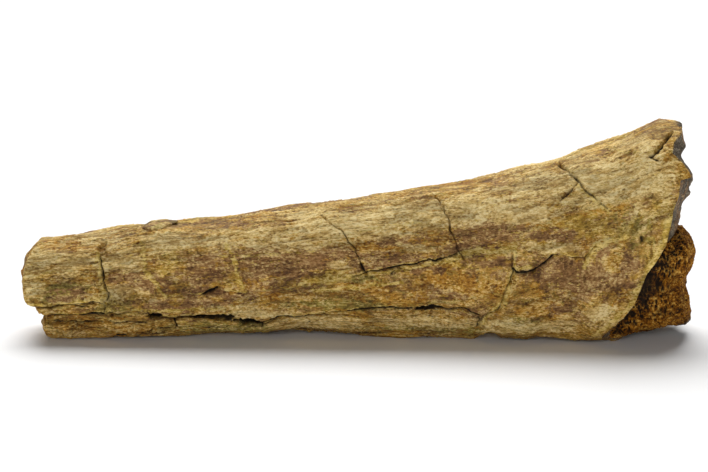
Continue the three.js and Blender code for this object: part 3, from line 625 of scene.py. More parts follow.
def splinter_field(x, z, wobble):
    """Long splinters laid like bricks: how far each stands out, from -1 to 1, and the gaps between rows."""
    height = z / SPLINTER_HEIGHT + 0.35 * wobble
    row = np.floor(height)
    part = height - row
    place = np.stack([np.floor(x / SPLINTER_LENGTH + 0.37 * row), row, 0 * row], axis=-1)
    gap = np.exp(-((np.minimum(part, 1 - part) / 0.07) ** 2))
    return lattice_value(place, 501), gap


def vein_field(x, z, wobble):
    """How near each place is to a mineral vein, from 0 to 1."""
    amount = np.zeros(x.shape)
    for line in VEINS:
        at = near_line(x, z, line, 5.0)
        distance, width = line_distance(x[at], z[at], line)
        amount[at] = np.maximum(amount[at], np.exp(-((distance / (width * (1.0 + 0.5 * wobble[at]))) ** 2)))
    return amount


def patch_field(x, z, wobble, patches):
    """Soft ellipses of colour with ragged edges."""
    amount = np.zeros(x.shape)
    for cx, cz, half_length, half_height, strength in patches:
        away = ((x - cx) / half_length) ** 2 + ((z - cz) / half_height) ** 2
        amount = np.maximum(amount, strength * np.exp(-0.7 * np.maximum(away + 0.9 * wobble, 0)))
    return amount


def lump(x, y, z):
    """Low swellings: a sum of slow waves in all three directions."""
    slow = np.sin(x / 11 + z / 7) * np.cos(y / 9 - x / 17)
    quick = np.sin(x / 5.3 - z / 4.1 + y / 6)
    return LUMP * (slow + 0.5 * quick)


def section_normal(x, angle):
    """Outward direction of the smooth section, from small steps along the bone and round it."""
    y, z = section(x, angle)
    y_on, z_on = section(x + 0.5, angle)
    y_round, z_round = section(x, angle + 0.01)
    round_way = np.stack([0 * x, y_round - y, z_round - z], axis=-1)
    along_way = np.stack([0.5 + 0 * x, y_on - y, z_on - z], axis=-1)
    normal = np.cross(round_way, along_way)
    return normal / np.maximum(np.linalg.norm(normal, axis=-1, keepdims=True), 1e-9)


def grid_normal(points):
    """Outward direction on a closed grid, from the cross product of its two ways."""
    around = np.roll(points, -1, axis=1) - np.roll(points, 1, axis=1)
    normal = np.cross(around, np.gradient(points, axis=0))
    return normal / np.maximum(np.linalg.norm(normal, axis=-1, keepdims=True), 1e-9)


def compact_relief(points, straight, front):
    """Relief of compact bone: how far it rises (slow swellings, bands, ribs and threads along the bone,
    flaked layers with sharp edges, crumbs, splinters, rubble and veins of crust, less the pits), how deep it
    is carved by cracks, hollows, ledges and slabs, and its masks. Front is 1 on the front face and -1 on the
    back."""
    x, y, z = np.moveaxis(points, -1, 0)
    bands = fractal(drawn(straight, 26.0, 6.5), 3, 11)
    ribs = 1 - np.abs(fractal(drawn(straight, 16.0, 1.9), 3, 21)) * 2
    threads = fractal(drawn(straight, 7.0, 0.8), 2, 31)
    swell = fractal(straight / 17.0, 2, 41)
    wobble = noise(points / 1.3, 51)
    slow_wobble = fractal(drawn(straight, 9.0, 3.5), 3, 61)
    flake = smoothstep(fractal(drawn(straight, 15.0, 4.2), 4, 71), 0.02, 0.09)
    pocked = smoothstep(fractal(points / 13.0, 2, 91), -0.1, 0.4)
    pit = smoothstep(0.36 - pits(drawn(points, 2.6, 1.7), 81), 0, 0.2) * pocked
    crumbly = smoothstep(fractal(drawn(straight, 18.0, 8.0), 3, 141), -0.25, 0.3)
    crumb = smoothstep(0.46 - pits(drawn(points, 1.9, 1.15), 131), 0, 0.24) * crumbly

    xw = x + 0.7 * noise(points / 5.0, 101) + 0.35 * noise(points / 2.1, 102)
    zw = z + 0.6 * noise(points / 5.0, 111) + 0.22 * noise(points / 2.1, 112)
    gape = smoothstep(fractal(points / 4.5, 2, 121), -0.35, 0.3)
    crack, dark = crack_field(np.where(front > 0.02, xw, 999.0), zw, wobble, gape, CRACKS)
    back_crack, back_dark = crack_field(np.where(front < -0.02, xw, 999.0), zw, wobble, gape, BACK_CRACKS)
    crack = np.maximum(crack, back_crack)
    dark = np.maximum(dark, back_dark)
    setback, edge = ledge_field(xw, zw, LEDGES)
    facing = smoothstep(front, 0.02, 0.25)
    level, on_slab, slab_gap = slab_field(xw + 1.1 * noise(points / 3.4, 161), zw + 0.3 * wobble, SLABS)
    slab_gap = slab_gap * (0.35 + 0.65 * gape)
    splintered = smoothstep(setback, 1.0, 1.8) * facing * (1 - on_slab)
    step, gap = splinter_field(x, z, slow_wobble)
    rubble = patch_field(x, z, slow_wobble, RUBBLE) * facing
    vein = vein_field(np.where(front > 0.02, xw, 999.0), zw, wobble)
    bits = smoothstep(0.62 - pits(drawn(points, 2.4, 1.7), 181), 0, 0.3) * smoothstep(rubble, 0.3, 0.6)
    setback = setback * (1 - on_slab) + level * on_slab
    hollow = hollow_field(xw, zw, wobble) * facing
    carved = np.maximum(np.maximum(crack, hollow), 1.2 * slab_gap * facing) + facing * setback
    plain = 1 - 0.6 * on_slab * facing

    fibrous = (BANDS * bands + RIBS * ribs + THREADS * threads + FLAKED_LAYERS * flake + CRUMBS * crumb
               - PITS * pit)
    relief = (SWELL * swell + plain * fibrous + splintered * (SPLINTERS * step - SPLINTER_GAPS * gap)
              + BITS * bits + VEIN_CRUST * vein * smoothstep(noise(points / 1.1, 191), -0.6, 0.4))
    masks = {
        # Crevice mask: dirt plus painted shade, darker in cracks, slab gaps, splinter gaps and hollows
        "crevice": np.clip(np.maximum(dark, 0.75 * slab_gap * facing) + 0.6 * splintered * gap
                           + 0.2 * hollow, 0, 1),
        "vein": np.maximum(vein, np.maximum(0.8 * edge * facing, 0.7 * rubble)),
        "crumb": np.maximum(crumb, 0.8 * bits),
        "pit": pit,
        # Relief mask: painted light and shade, lighter where bands, ribs, threads and flakes stand high,
        # darker where they lie low
        "relief": 0.5 + 0.5 * np.clip(0.5 * bands + 0.45 * ribs + 0.4 * threads + 0.5 * flake - 0.5, -1, 1),
        "broken": 0 * x,
        "sponge": 0 * x,
    }
    ragged = slow_wobble + 0.5 * wobble
    front_side = smoothstep(front, -0.05, 0.1)
    for k, (name, spots) in enumerate(PATCHES.items()):
        own = smoothstep(fractal(drawn(straight, 21.0, 8.0), 3, 150 + 7 * k), 0.05, 0.5)
        masks[name] = front_side * patch_field(x, z, ragged, spots) + (1 - front_side) * own
    under_crest = z - along(CREST, x)
    # Painted highlight: a streaked pale band on the upper face below the crest, fading at the crest itself,
    # rising from x -90 and full from x -10 on, laid into the cream mask where light from above falls
    streak = smoothstep(fractal(drawn(straight, 34.0, 4.0), 3, 171), -0.45, 0.35)
    top_highlight = smoothstep(under_crest, -19, -9) * (1 - 0.75 * smoothstep(under_crest, -5, -1.5)) * streak
    masks["cream"] = np.maximum(masks["cream"], smoothstep(x, -90, -10) * top_highlight)
    return relief, carved, masks


def compact_side(turns, x, from_end):
    """Side of the compact bone at each x and turn: the section, worn round near the butt, with relief."""
    angle = angle_at(turns, x)
    y, z = section(x, angle)
    middle = (along(CREST, x) + along(UNDERSIDE, x)) / 2
    swelling = 1 + lump(x, y, z) / SHAFT_HALF_DEPTH
    y = y * swelling
    z = middle + (z - middle) * swelling
    if from_end is not None:
        worn = 1 - np.clip(from_end / EDGE_BEVEL, 0, 1)
        shrink = 1 - EDGE_BEVEL * (1 - np.sqrt(1 - worn**2)) / SHAFT_HALF_DEPTH
        y = y * shrink
        z = middle + (z - middle) * shrink
    points = np.stack([x, y, z], axis=-1)
    straight = np.stack([x, -STRAIGHT_RADIUS * np.sin(angle), STRAIGHT_RADIUS * np.cos(angle)], axis=-1)
    relief, carved, masks = compact_relief(points, straight, np.sin(angle))
    normal = section_normal(x, angle)
    level = normal * [1, 1, 0] + [0, 0, 1] * np.maximum(normal, 0)
    level = level / np.maximum(np.linalg.norm(level, axis=-1, keepdims=True), 0.3)
    points = points + relief[..., None] * normal - carved[..., None] * level
    arch = along_straight(FOOT_ARCHES, points[..., 0]) * smoothstep(-points[..., 1], 2, 9)
    points[..., 2] = np.maximum(points[..., 2], arch)
    return points, masks, straight


def closing_face(rim, rim_straight, masks, face, count, way):
    """Rings that shrink from a rim to the middle of its face. Open ends are broken bone: a compact wall with
    chipped facets, round a spongy middle. Behind the flared end's front strip the wall is cut in by steps
    and the middle lies lower. Joints between two lengths stay plain."""
    share = ((np.arange(count) + 1) / (count + 1))[:, None] ** 0.85
    middle = min(rim[:, 2].max() + rim[:, 2].min(), 2 * FACE_MIDDLE_HIGHEST) / 2
    y = rim[:, 1] * share
    z = middle + (rim[:, 2] - middle) * share
    x = face(y, z) + (rim[:, 0] - face(rim[:, 1], rim[:, 2])) * share**4
    straight = rim_straight * share[..., None] ** [0, 1, 1]
    ring_masks = {key: np.zeros(x.shape) for key in masks}
    ring_masks["relief"] = np.full(x.shape, 0.5)
    ring_masks["broken"] = np.ones(x.shape)
    if face in (butt_break, flare_break):
        points = np.stack([x, y, z], axis=-1)
        facets = smoothstep(fractal(points / 7.0, 3, 211), 0, 0.08)
        chipped = 0.8 * fractal(points / 5.0, 4, 201) + 0.6 * facets
        behind = smoothstep(y + 7 + 3 * noise(points / 7.0, 226), 0, 5) * (face is flare_break)
        inner = smoothstep(0.70 + 0.10 * fractal(points / 6.0, 3, 221) - share, 0, 0.07)
        inner = inner * np.maximum(smoothstep(FACE_SPONGY_TOP - z, 0, 5), behind)
        pore = smoothstep(0.5 - pits(points / FACE_PORE_PITCH, 231), 0, 0.25) * inner
        steps = FACE_STEP * smoothstep(fractal(points / 9.0, 3, 236), -0.05, 0.05) + FACE_RECESS * inner
        x = x + way * (chipped - FACE_PORE_DEPTH * pore - 0.3 * inner - behind * steps) * (1 - share**8)
        ring_masks["sponge"] = inner
        # Pores on the broken faces get dirt and painted shade, and the chipped relief gives painted shade
        # where it lies low
        ring_masks["crevice"] = 0.9 * pore
        ring_masks["relief"] = 0.5 + 0.5 * np.clip(chipped, -1, 1)
        if face is butt_break:
            ring_masks["broken"] = 0.35 * smoothstep(0.86 + 0.06 * noise(points / 3.0, 241) - share, 0, 0.1)
    return np.stack([x, y, z], axis=-1), ring_masks, straight


def compact_length(turns, rings, start, finish, start_rings, finish_rings):
    """A length of compact bone between two faces: rings over the first face, along the side and over the
    last face."""
    left = rim_at(turns, start)
    right = rim_at(turns, finish)
    s = np.linspace(0, 1, rings - start_rings - finish_rings)[:, None]
    x = left * (1 - s) + right * s
    side, masks, straight = compact_side(turns, x, x - left if start is butt_break else None)
    first = closing_face(side[0], straight[0], masks, start, start_rings, -1)
    last = closing_face(side[-1], straight[-1], masks, finish, finish_rings, 1)
    points = np.concatenate([first[0], side, last[0][::-1]])
    all_masks = {key: np.concatenate([first[1][key], masks[key], last[1][key][::-1]]) for key in masks}
    return points, all_masks, np.concatenate([first[2], straight, last[2][::-1]])


def spongy_surface(rings, around):
    """Spongy bone: a squared knob inset under the compact bone, closed by its own worn outline, pierced by
    pores that lie a pore's pitch apart, with a net of walls between them."""
    angle = np.linspace(0, 2 * np.pi, around, endpoint=False)[None, :]
    travel = np.linspace(0, 1, rings + 2)[1:-1, None]
    along_knob = np.minimum(travel / SPONGY_SHOULDER, 1) ** 0.8
    closing = np.maximum(travel - SPONGY_SHOULDER, 0) / (1 - SPONGY_SHOULDER)
    reach = np.sin(np.minimum(travel / 0.04, 1) * np.pi / 2) * (1 - closing)
    x0 = SPONGY_ROOT + (SPONGY_END - SPONGY_ROOT) * along_knob + 0 * angle
    bottom = np.maximum(along(UNDERSIDE, x0) + 0.2, 0.3)
    mid = (SPONGY_TOP + bottom) / 2
    rise = np.sign(np.cos(angle)) * np.abs(np.cos(angle)) ** SPONGY_SQUARENESS
    side = np.sign(np.sin(angle)) * np.abs(np.sin(angle)) ** SPONGY_SQUARENESS
    hollows = 1.1 * np.sin(5 * angle + x0 / 4) * np.cos(x0 / 6 - 2 * angle)
    rough = 1 + (hollows + lump(x0, 9 * side, 9 * rise)) / 20
    z = mid + (SPONGY_TOP - mid) * reach * rise * rough
    y = -(along(HALF_DEPTH, x0) - SPONGY_INSET) * reach * side * rough
    end = along(SPONGY_RIGHT, z) - 0.01 * y**2 + 2.5 * lump(2 * z, y, 3 * y) * (1 - np.abs(side) * reach)
    x = SPONGY_ROOT + (end - SPONGY_ROOT) * along_knob
    points = np.stack([x, y, z], axis=-1)
    normal = grid_normal(points)
    warped = points + 0.6 * np.stack([noise(points / 2.2, 300 + k) for k in range(3)], axis=-1)
    large = pits(warped / np.array([1.6, 1.7, 3.0]), 310)
    small = pits(warped / np.array([1.0, 1.0, 1.4]), 320)
    pore = np.maximum(smoothstep(0.47 - large, 0, 0.25), 0.75 * smoothstep(0.47 - small, 0, 0.25))
    crumble = fractal(points / 5.0, 4, 330)
    relief = 0.8 * crumble - 1.0 * pore + 0.15 * noise(points / 0.5, 340)
    points = points + relief[..., None] * normal
    points[..., 2] = np.maximum(points[..., 2], 0.0)
    # Painted shadow: the spongy bone is darker next to the front rim, where the compact wall overhangs it.
    # Its pores get dirt and painted shade, and its crumbled relief gives painted shade where it lies low.
    rim_shadow = smoothstep(along_straight(FRONT_RIM, z) + 16 + 4 * crumble - x, 0, 12)
    masks = {
        "crevice": np.clip(pore * (0.6 + 0.4 * rim_shadow) + 0.35 * rim_shadow * (1 - crumble) - 0.2 * crumble,
                           0, 1),
        "relief": 0.5 + 0.5 * np.clip(crumble, -1, 1),
        "rind": smoothstep(along_straight(SPONGY_RIND, x) - z, -1.2, 0.4),
    }
    return points, masks, warped


def flake_surface(rings, around):
    """The loose flake on the crest: a flat lens, longer along the bone, with rough faces."""
    turn = np.linspace(0, 2 * np.pi, around, endpoint=False)[None, :]
    tilt = np.linspace(0, np.pi, rings + 2)[1:-1, None]
    flat = np.sign(np.cos(turn)) * np.abs(np.cos(turn)) ** 0.6
    x = -np.cos(tilt) + 0 * turn
    blunt = np.sin(tilt) ** 0.7 * (1 - 0.35 * x)
    points = np.stack([x, -blunt * np.sin(turn), blunt * flat], axis=-1)
    normal = grid_normal(points)
    points = points * FLAKE_HALF_SIZE
    straight = points + FLAKE_CENTRE
    tilted = FLAKE_TILT * points[..., 0]
    points = straight + np.stack([0 * tilted, 0 * tilted, tilted], axis=-1)
    rough = 0.30 * fractal(drawn(straight, 4.0, 1.6), 3, 401) + 0.9 * fractal(straight / 5.0, 3, 411)
    points = points + rough[..., None] * normal
    blank = np.zeros(rough.shape)
    masks = {key: blank for key in ("crevice", "vein", "crumb", "pit", "broken", "sponge", *PATCHES)}
    # The flake's relief mask gives its rough faces painted shade where they lie low
    masks.update(relief=0.5 + rough, olive=blank + 0.9, umber=blank + 0.45)
    masks.update(crumb=smoothstep(rough, 0.05, 0.2))
    return points, masks, straight


def closed_grid(name, points, masks, straight, material, sharp_rings=()):
    """Mesh object from rings of points: squares between rings, a fan to the middle of each end ring, a UV
    map of turns by rings, each mask as an attribute, and the straightened place for patterns along the bone.
    The rings that are named sharp keep a hard edge."""
    rings, around = points.shape[:2]
    ends = [points[0].mean(axis=0), points[-1].mean(axis=0)]
    verts = np.concatenate([points.reshape(-1, 3), ends]) * MM
    ring = np.arange(rings - 1)[:, None] * around
    here = np.arange(around)
    after = (here + 1) % around
    squares = np.stack([ring + here, ring + after, ring + after + around, ring + here + around], -1)
    squares = squares.reshape(-1, 4)
    first = rings * around
    tail = (rings - 1) * around
    caps = np.concatenate([
        np.stack([here * 0 + first, after, here], -1),
        np.stack([here * 0 + first + 1, here + tail, after + tail], -1),
    ])
    corners = np.concatenate([squares.ravel(), caps.ravel()]).astype(np.int32)
    sizes = np.concatenate([np.full(len(squares), 4), np.full(len(caps), 3)])
    starts = np.concatenate([[0], np.cumsum(sizes)[:-1]]).astype(np.int32)
    mesh = bpy.data.meshes.new(name)
    mesh.vertices.add(len(verts))
    mesh.vertices.foreach_set("co", verts.ravel())
    mesh.loops.add(len(corners))
    mesh.loops.foreach_set("vertex_index", corners)
    mesh.polygons.add(len(sizes))
    mesh.polygons.foreach_set("loop_start", starts)
    mesh.polygons.foreach_set("use_smooth", np.ones(len(sizes), bool))
    mesh.update(calc_edges=True)

    turn = here / around
    next_turn = (here + 1) / around
    low = (np.arange(rings - 1)[:, None] + 1) / (rings + 1)
    high = (np.arange(rings - 1)[:, None] + 2) / (rings + 1)
    square_u = np.stack([turn + 0 * low, next_turn + 0 * low, next_turn + 0 * low, turn + 0 * low], -1)
    square_v = np.stack([low + 0 * turn, low + 0 * turn, high + 0 * turn, high + 0 * turn], -1)
    middle = (turn + next_turn) / 2
    edge = 1 / (rings + 1)
    cap_u = np.stack([[middle, next_turn, turn], [middle, turn, next_turn]]).transpose(0, 2, 1)
    cap_v = np.stack([
        np.stack([0 * turn, 0 * turn + edge, 0 * turn + edge], -1),
        np.stack([0 * turn + 1, 0 * turn + 1 - edge, 0 * turn + 1 - edge], -1),
    ])
    uv = np.stack([np.concatenate([square_u.ravel(), cap_u.ravel()]),
                   np.concatenate([square_v.ravel(), cap_v.ravel()])], -1)
    mesh.uv_layers.new(name="OFBake").data.foreach_set("uv", uv.astype(np.float32).ravel())

    for key, values in masks.items():
        full = np.concatenate([values.ravel(), [values[0].mean(), values[-1].mean()]])
        mesh.attributes.new(key, "FLOAT", "POINT").data.foreach_set("value", full.astype(np.float32))
    middles = [straight[0].mean(axis=0), straight[-1].mean(axis=0)]
    place = np.concatenate([straight.reshape(-1, 3), middles]) * MM
    straightened = mesh.attributes.new("straight", "FLOAT_VECTOR", "POINT")
    straightened.data.foreach_set("vector", place.astype(np.float32).ravel())

    if sharp_rings:
        ends_of_edges = np.empty(len(mesh.edges) * 2, np.int32)
        mesh.edges.foreach_get("vertices", ends_of_edges)
        rows = ends_of_edges.reshape(-1, 2) // around
        sharp = np.zeros(len(mesh.edges), bool)
        for row in sharp_rings:
            sharp |= (rows[:, 0] == row) & (rows[:, 1] == row)
        mesh.attributes.new("sharp_edge", "BOOLEAN", "EDGE").data.foreach_set("value", sharp)

    mesh.validate()
    piece = bpy.data.objects.new(name, mesh)
    bpy.context.scene.collection.objects.link(piece)
    mesh.materials.append(material)
    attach(piece, "root")
    return piece


class NodeDesk:
    """Short calls that add nodes to one tree and join them up."""

    def __init__(self, tree):
        self.tree = tree

    def add(self, kind, inputs=None, **settings):
        """Add a node, set its options, and give each named input a value or a socket to read."""
        node = self.tree.nodes.new(kind)
        for key, value in settings.items():
            setattr(node, key, value)
        for key, value in (inputs or {}).items():
            if isinstance(value, bpy.types.NodeSocket):
                self.tree.links.new(value, node.inputs[key])
            else:
                node.inputs[key].default_value = value
        return node

    def group(self, tree, inputs):
        """Place a group with its own values."""
        return self.add("ShaderNodeGroup", inputs, node_tree=tree)

    def attribute(self, name):
        """Read a mask, or a place, that the mesh carries."""
        node = self.add("ShaderNodeAttribute", attribute_name=name)
        return node.outputs["Vector"] if name == "straight" else node.outputs["Fac"]

    def plus(self, a, b):
        """Sum of two values."""
        return self.add("ShaderNodeMath", {0: a, 1: b}, operation="ADD").outputs[0]

    def minus(self, a, b):
        """First value less the second."""
        return self.add("ShaderNodeMath", {0: a, 1: b}, operation="SUBTRACT").outputs[0]

    def times(self, a, b):
        """Product of two values."""
        return self.add("ShaderNodeMath", {0: a, 1: b}, operation="MULTIPLY").outputs[0]

    def ramp(self, value, low, high, start=0.0, end=1.0):
        """Turn the stretch from low to high into start to end, smoothly."""
        inputs = {"Value": value, "From Min": low, "From Max": high, "To Min": start, "To Max": end}
        return self.add("ShaderNodeMapRange", inputs, interpolation_type="SMOOTHSTEP").outputs["Result"]

    def mix(self, amount, a, b):
        """Blend colour b over colour a."""
        node = self.add("ShaderNodeMix", data_type="RGBA", clamp_factor=True)
        for socket, source in ((node.inputs[0], amount), (node.inputs[6], a), (node.inputs[7], b)):
            self.tree.links.new(source, socket)
        return node.outputs[2]

    def stretched(self, place, length, width):
        """A place divided by a length along the bone and a width across it."""
        divisor = self.add("ShaderNodeCombineXYZ", {"X": length, "Y": width, "Z": width}).outputs[0]
        return self.add("ShaderNodeVectorMath", {0: place, 1: divisor}, operation="DIVIDE").outputs[0]

    def cloud(self, place, detail, roughness):
        """Noise from 0 to 1."""
        node = self.add("ShaderNodeTexNoise", {"Vector": place, "Scale": 1.0, "Detail": detail,
                                               "Roughness": roughness})
        return node.outputs["Fac"]


def node_group(name, inputs, outputs):
    """An empty shader group with its sockets: (name, kind, default) and (name, kind)."""
    tree = bpy.data.node_groups.new(name, "ShaderNodeTree")
    for label, kind, default in inputs:
        socket = tree.interface.new_socket(name=label, in_out="INPUT", socket_type=kind)
        if default is not None:
            socket.default_value = default
    for label, kind in outputs:
        tree.interface.new_socket(name=label, in_out="OUTPUT", socket_type=kind)
    desk = NodeDesk(tree)
    return tree, desk, desk.add("NodeGroupInput"), desk.add("NodeGroupOutput")


def tone_group():
    """Bone tones: a value from 0 to 1 as one of four colours, blended into each other."""
    tree, desk, given, out = node_group(
        "Bone tones",
        [("Value", "NodeSocketFloat", 0.5), ("Dark", "NodeSocketColor", (0.1, 0.1, 0.1, 1)),
         ("Middle", "NodeSocketColor", (0.3, 0.3, 0.3, 1)), ("Light", "NodeSocketColor", (0.5, 0.5, 0.5, 1)),
         ("Pale", "NodeSocketColor", (0.8, 0.8, 0.8, 1))],
        [("Colour", "NodeSocketColor")],
    )
    value = given.outputs["Value"]
    colour = desk.mix(desk.ramp(value, 0.08, 0.40), given.outputs["Dark"], given.outputs["Middle"])
    colour = desk.mix(desk.ramp(value, 0.38, 0.66), colour, given.outputs["Light"])
    colour = desk.mix(desk.ramp(value, 0.64, 0.96), colour, given.outputs["Pale"])
    tree.links.new(colour, out.inputs["Colour"])
    return tree


def grain_group():
    """Bone grain: grains, fibres, mottling, flecks and ragged chips added up to a value round 0.5, and the
    height that goes with it. Grain is how wide a grain is, and Stretch how many times longer it is."""
    tree, desk, given, out = node_group(
        "Bone grain",
        [("Place", "NodeSocketVector", None), ("Straight", "NodeSocketVector", None),
         ("Grain", "NodeSocketFloat", 0.00065), ("Stretch", "NodeSocketFloat", 2.2),
         ("Contrast", "NodeSocketFloat", 1.0)],
        [("Value", "NodeSocketFloat"), ("Height", "NodeSocketFloat"), ("Mottle", "NodeSocketFloat"),
         ("Chip", "NodeSocketFloat")],
    )
    grain = given.outputs["Grain"]
    long_grain = desk.times(grain, given.outputs["Stretch"])

    def sized(place, longer, wider):
        """A place measured in grains that are this many times longer and wider."""
        return desk.stretched(given.outputs[place], desk.times(long_grain, longer), desk.times(grain, wider))

    grains = desk.cloud(sized("Place", 1.0, 1.0), 6.0, 0.72)
    fibres = desk.cloud(sized("Straight", 2.8, 0.9), 4.0, 0.65)
    mottle = desk.cloud(sized("Straight", 6.0, 4.0), 4.0, 0.6)
    flecks = desk.ramp(desk.cloud(sized("Place", 2.4, 2.0), 5.0, 0.7), 0.47, 0.55)
    ragged = desk.add("ShaderNodeTexNoise", {"Vector": sized("Place", 1.0, 1.0), "Scale": 0.7,
                                             "Detail": 3.0})
    laid = desk.add("ShaderNodeVectorMath", {0: ragged.outputs["Color"], 1: (1.9, 1.9, 1.9),
                                             2: sized("Straight", 3.4, 2.3)}, operation="MULTIPLY_ADD")
    cells = desk.add("ShaderNodeTexVoronoi", {"Vector": laid.outputs[0], "Scale": 1.0})
    chips = desk.add("ShaderNodeSeparateColor", {"Color": cells.outputs["Color"]})
    chip = chips.outputs["Red"]
    lively = desk.plus(0.5, desk.times(desk.minus(grains, 0.5), desk.ramp(mottle, 0.38, 0.62, 0.6, 1.35)))
    total = 0.0
    for field, weight in ((lively, 2.5), (fibres, 1.1), (mottle, 0.9), (flecks, 0.2), (chip, 0.3)):
        total = desk.plus(total, desk.times(desk.minus(field, 0.5), weight))
    value = desk.plus(desk.times(total, given.outputs["Contrast"]), 0.53)
    height = desk.plus(desk.times(grains, 0.75), desk.times(fibres, 0.5))
    height = desk.plus(height, desk.times(chip, 0.2))
    for label, socket in (("Value", value), ("Height", height), ("Mottle", mottle),
                          ("Chip", chips.outputs["Green"])):
        tree.links.new(socket, out.inputs[label])
    return tree


def crust_group():
    """Mineral crust: ragged grains that lie where the amount is high."""
    tree, desk, given, out = node_group(
        "Mineral crust",
        [("Place", "NodeSocketVector", None), ("Amount", "NodeSocketFloat", 0.5),
         ("Grain", "NodeSocketFloat", 0.0016)],
        [("Crust", "NodeSocketFloat")],
    )
    grain = given.outputs["Grain"]
    spread = desk.stretched(given.outputs["Place"], desk.times(grain, 2.2), grain)
    grains = desk.cloud(spread, 5.0, 0.7)
    level = desk.minus(0.78, desk.times(given.outputs["Amount"], 0.39))
    crust = desk.ramp(desk.minus(grains, level), -0.04, 0.06)
    tree.links.new(crust, out.inputs["Crust"])
    return tree


def speck_group():
    """Specks: crisp spots scattered one to a cell, on a share of the cells."""
    tree, desk, given, out = node_group(
        "Specks",
        [("Place", "NodeSocketVector", None), ("Length", "NodeSocketFloat", 0.0016),
         ("Width", "NodeSocketFloat", 0.0010), ("Share", "NodeSocketFloat", 0.4)],
        [("Speck", "NodeSocketFloat")],
    )
    spread = desk.stretched(given.outputs["Place"], given.outputs["Length"], given.outputs["Width"])
    cells = desk.add("ShaderNodeTexVoronoi", {"Vector": spread, "Scale": 1.0})
    draw = desk.add("ShaderNodeSeparateColor", {"Color": cells.outputs["Color"]})
    chosen = desk.ramp(desk.minus(given.outputs["Share"], draw.outputs["Red"]), 0.0, 0.06)
    size = desk.plus(0.22, desk.times(draw.outputs["Green"], 0.25))
    spot = desk.ramp(desk.minus(size, cells.outputs["Distance"]), 0.0, 0.08)
    tree.links.new(desk.times(spot, chosen), out.inputs["Speck"])
    return tree


def dirt_and_shade_group():
    """Dirt and painted shade in hollows: darkens a colour where the bone is cracked, pitted or low. The
    darkening where the relief is low is painted shade, and in cracks and pores it is dirt and painted shade
    together.
    """
    tree, desk, given, out = node_group(
        "Dirt in hollows",
        [("Colour", "NodeSocketColor", (0.5, 0.5, 0.5, 1)), ("Low", "NodeSocketFloat", 0.5),
         ("Crevice", "NodeSocketFloat", 0.0), ("Dirt", "NodeSocketColor", (0.02, 0.012, 0.006, 1))],
        [("Colour", "NodeSocketColor")],
    )
    shade = desk.ramp(given.outputs["Low"], 0.05, 0.6, 0.4, 0.0)
    lower = desk.mix(shade, given.outputs["Colour"], given.outputs["Dirt"])
    deep = desk.ramp(given.outputs["Crevice"], 0.15, 0.75, 0.0, 0.96)
    tree.links.new(desk.mix(deep, lower, given.outputs["Dirt"]), out.inputs["Colour"])
    return tree


def new_material(name, roughness, specular):
    """A material with one plain surface shader, and the desk for its nodes."""
    material = bpy.data.materials.new(name)
    material.use_nodes = True
    desk = NodeDesk(material.node_tree)
    shader = material.node_tree.nodes["Principled BSDF"]
    shader.inputs["Roughness"].default_value = roughness
    shader.inputs["Specular IOR Level"].default_value = specular
    return material, desk, shader


def tones(desk, groups, value, colours, name):
    """Place the tone group with one finish's four colours."""
    given = {shade: (*tuple(getattr(colours, name + "_" + shade.lower()))[:3], 1.0) for shade in SHADES}
    return desk.group(groups["tones"], {"Value": value, **given}).outputs["Colour"]


def lay_dirt_and_shade(desk, groups, colour, colours, shader):
    """Give a shader its colour, with dirt and painted shade where the mesh is low, cracked or pitted."""
    dirt = desk.group(groups["dirt"], {"Colour": colour, "Low": desk.attribute("relief"),
                                       "Crevice": desk.attribute("crevice"),
                                       "Dirt": (*tuple(colours.dirt)[:3], 1.0)})
    desk.tree.links.new(dirt.outputs["Colour"], shader.inputs["Base Color"])


def raise_surface(desk, height, strength, shader):
    """Give a shader its finest relief from a height."""
    bump = desk.add("ShaderNodeBump", {"Height": height, "Strength": strength, "Distance": BUMP_DISTANCE})
    desk.tree.links.new(bump.outputs["Normal"], shader.inputs["Normal"])


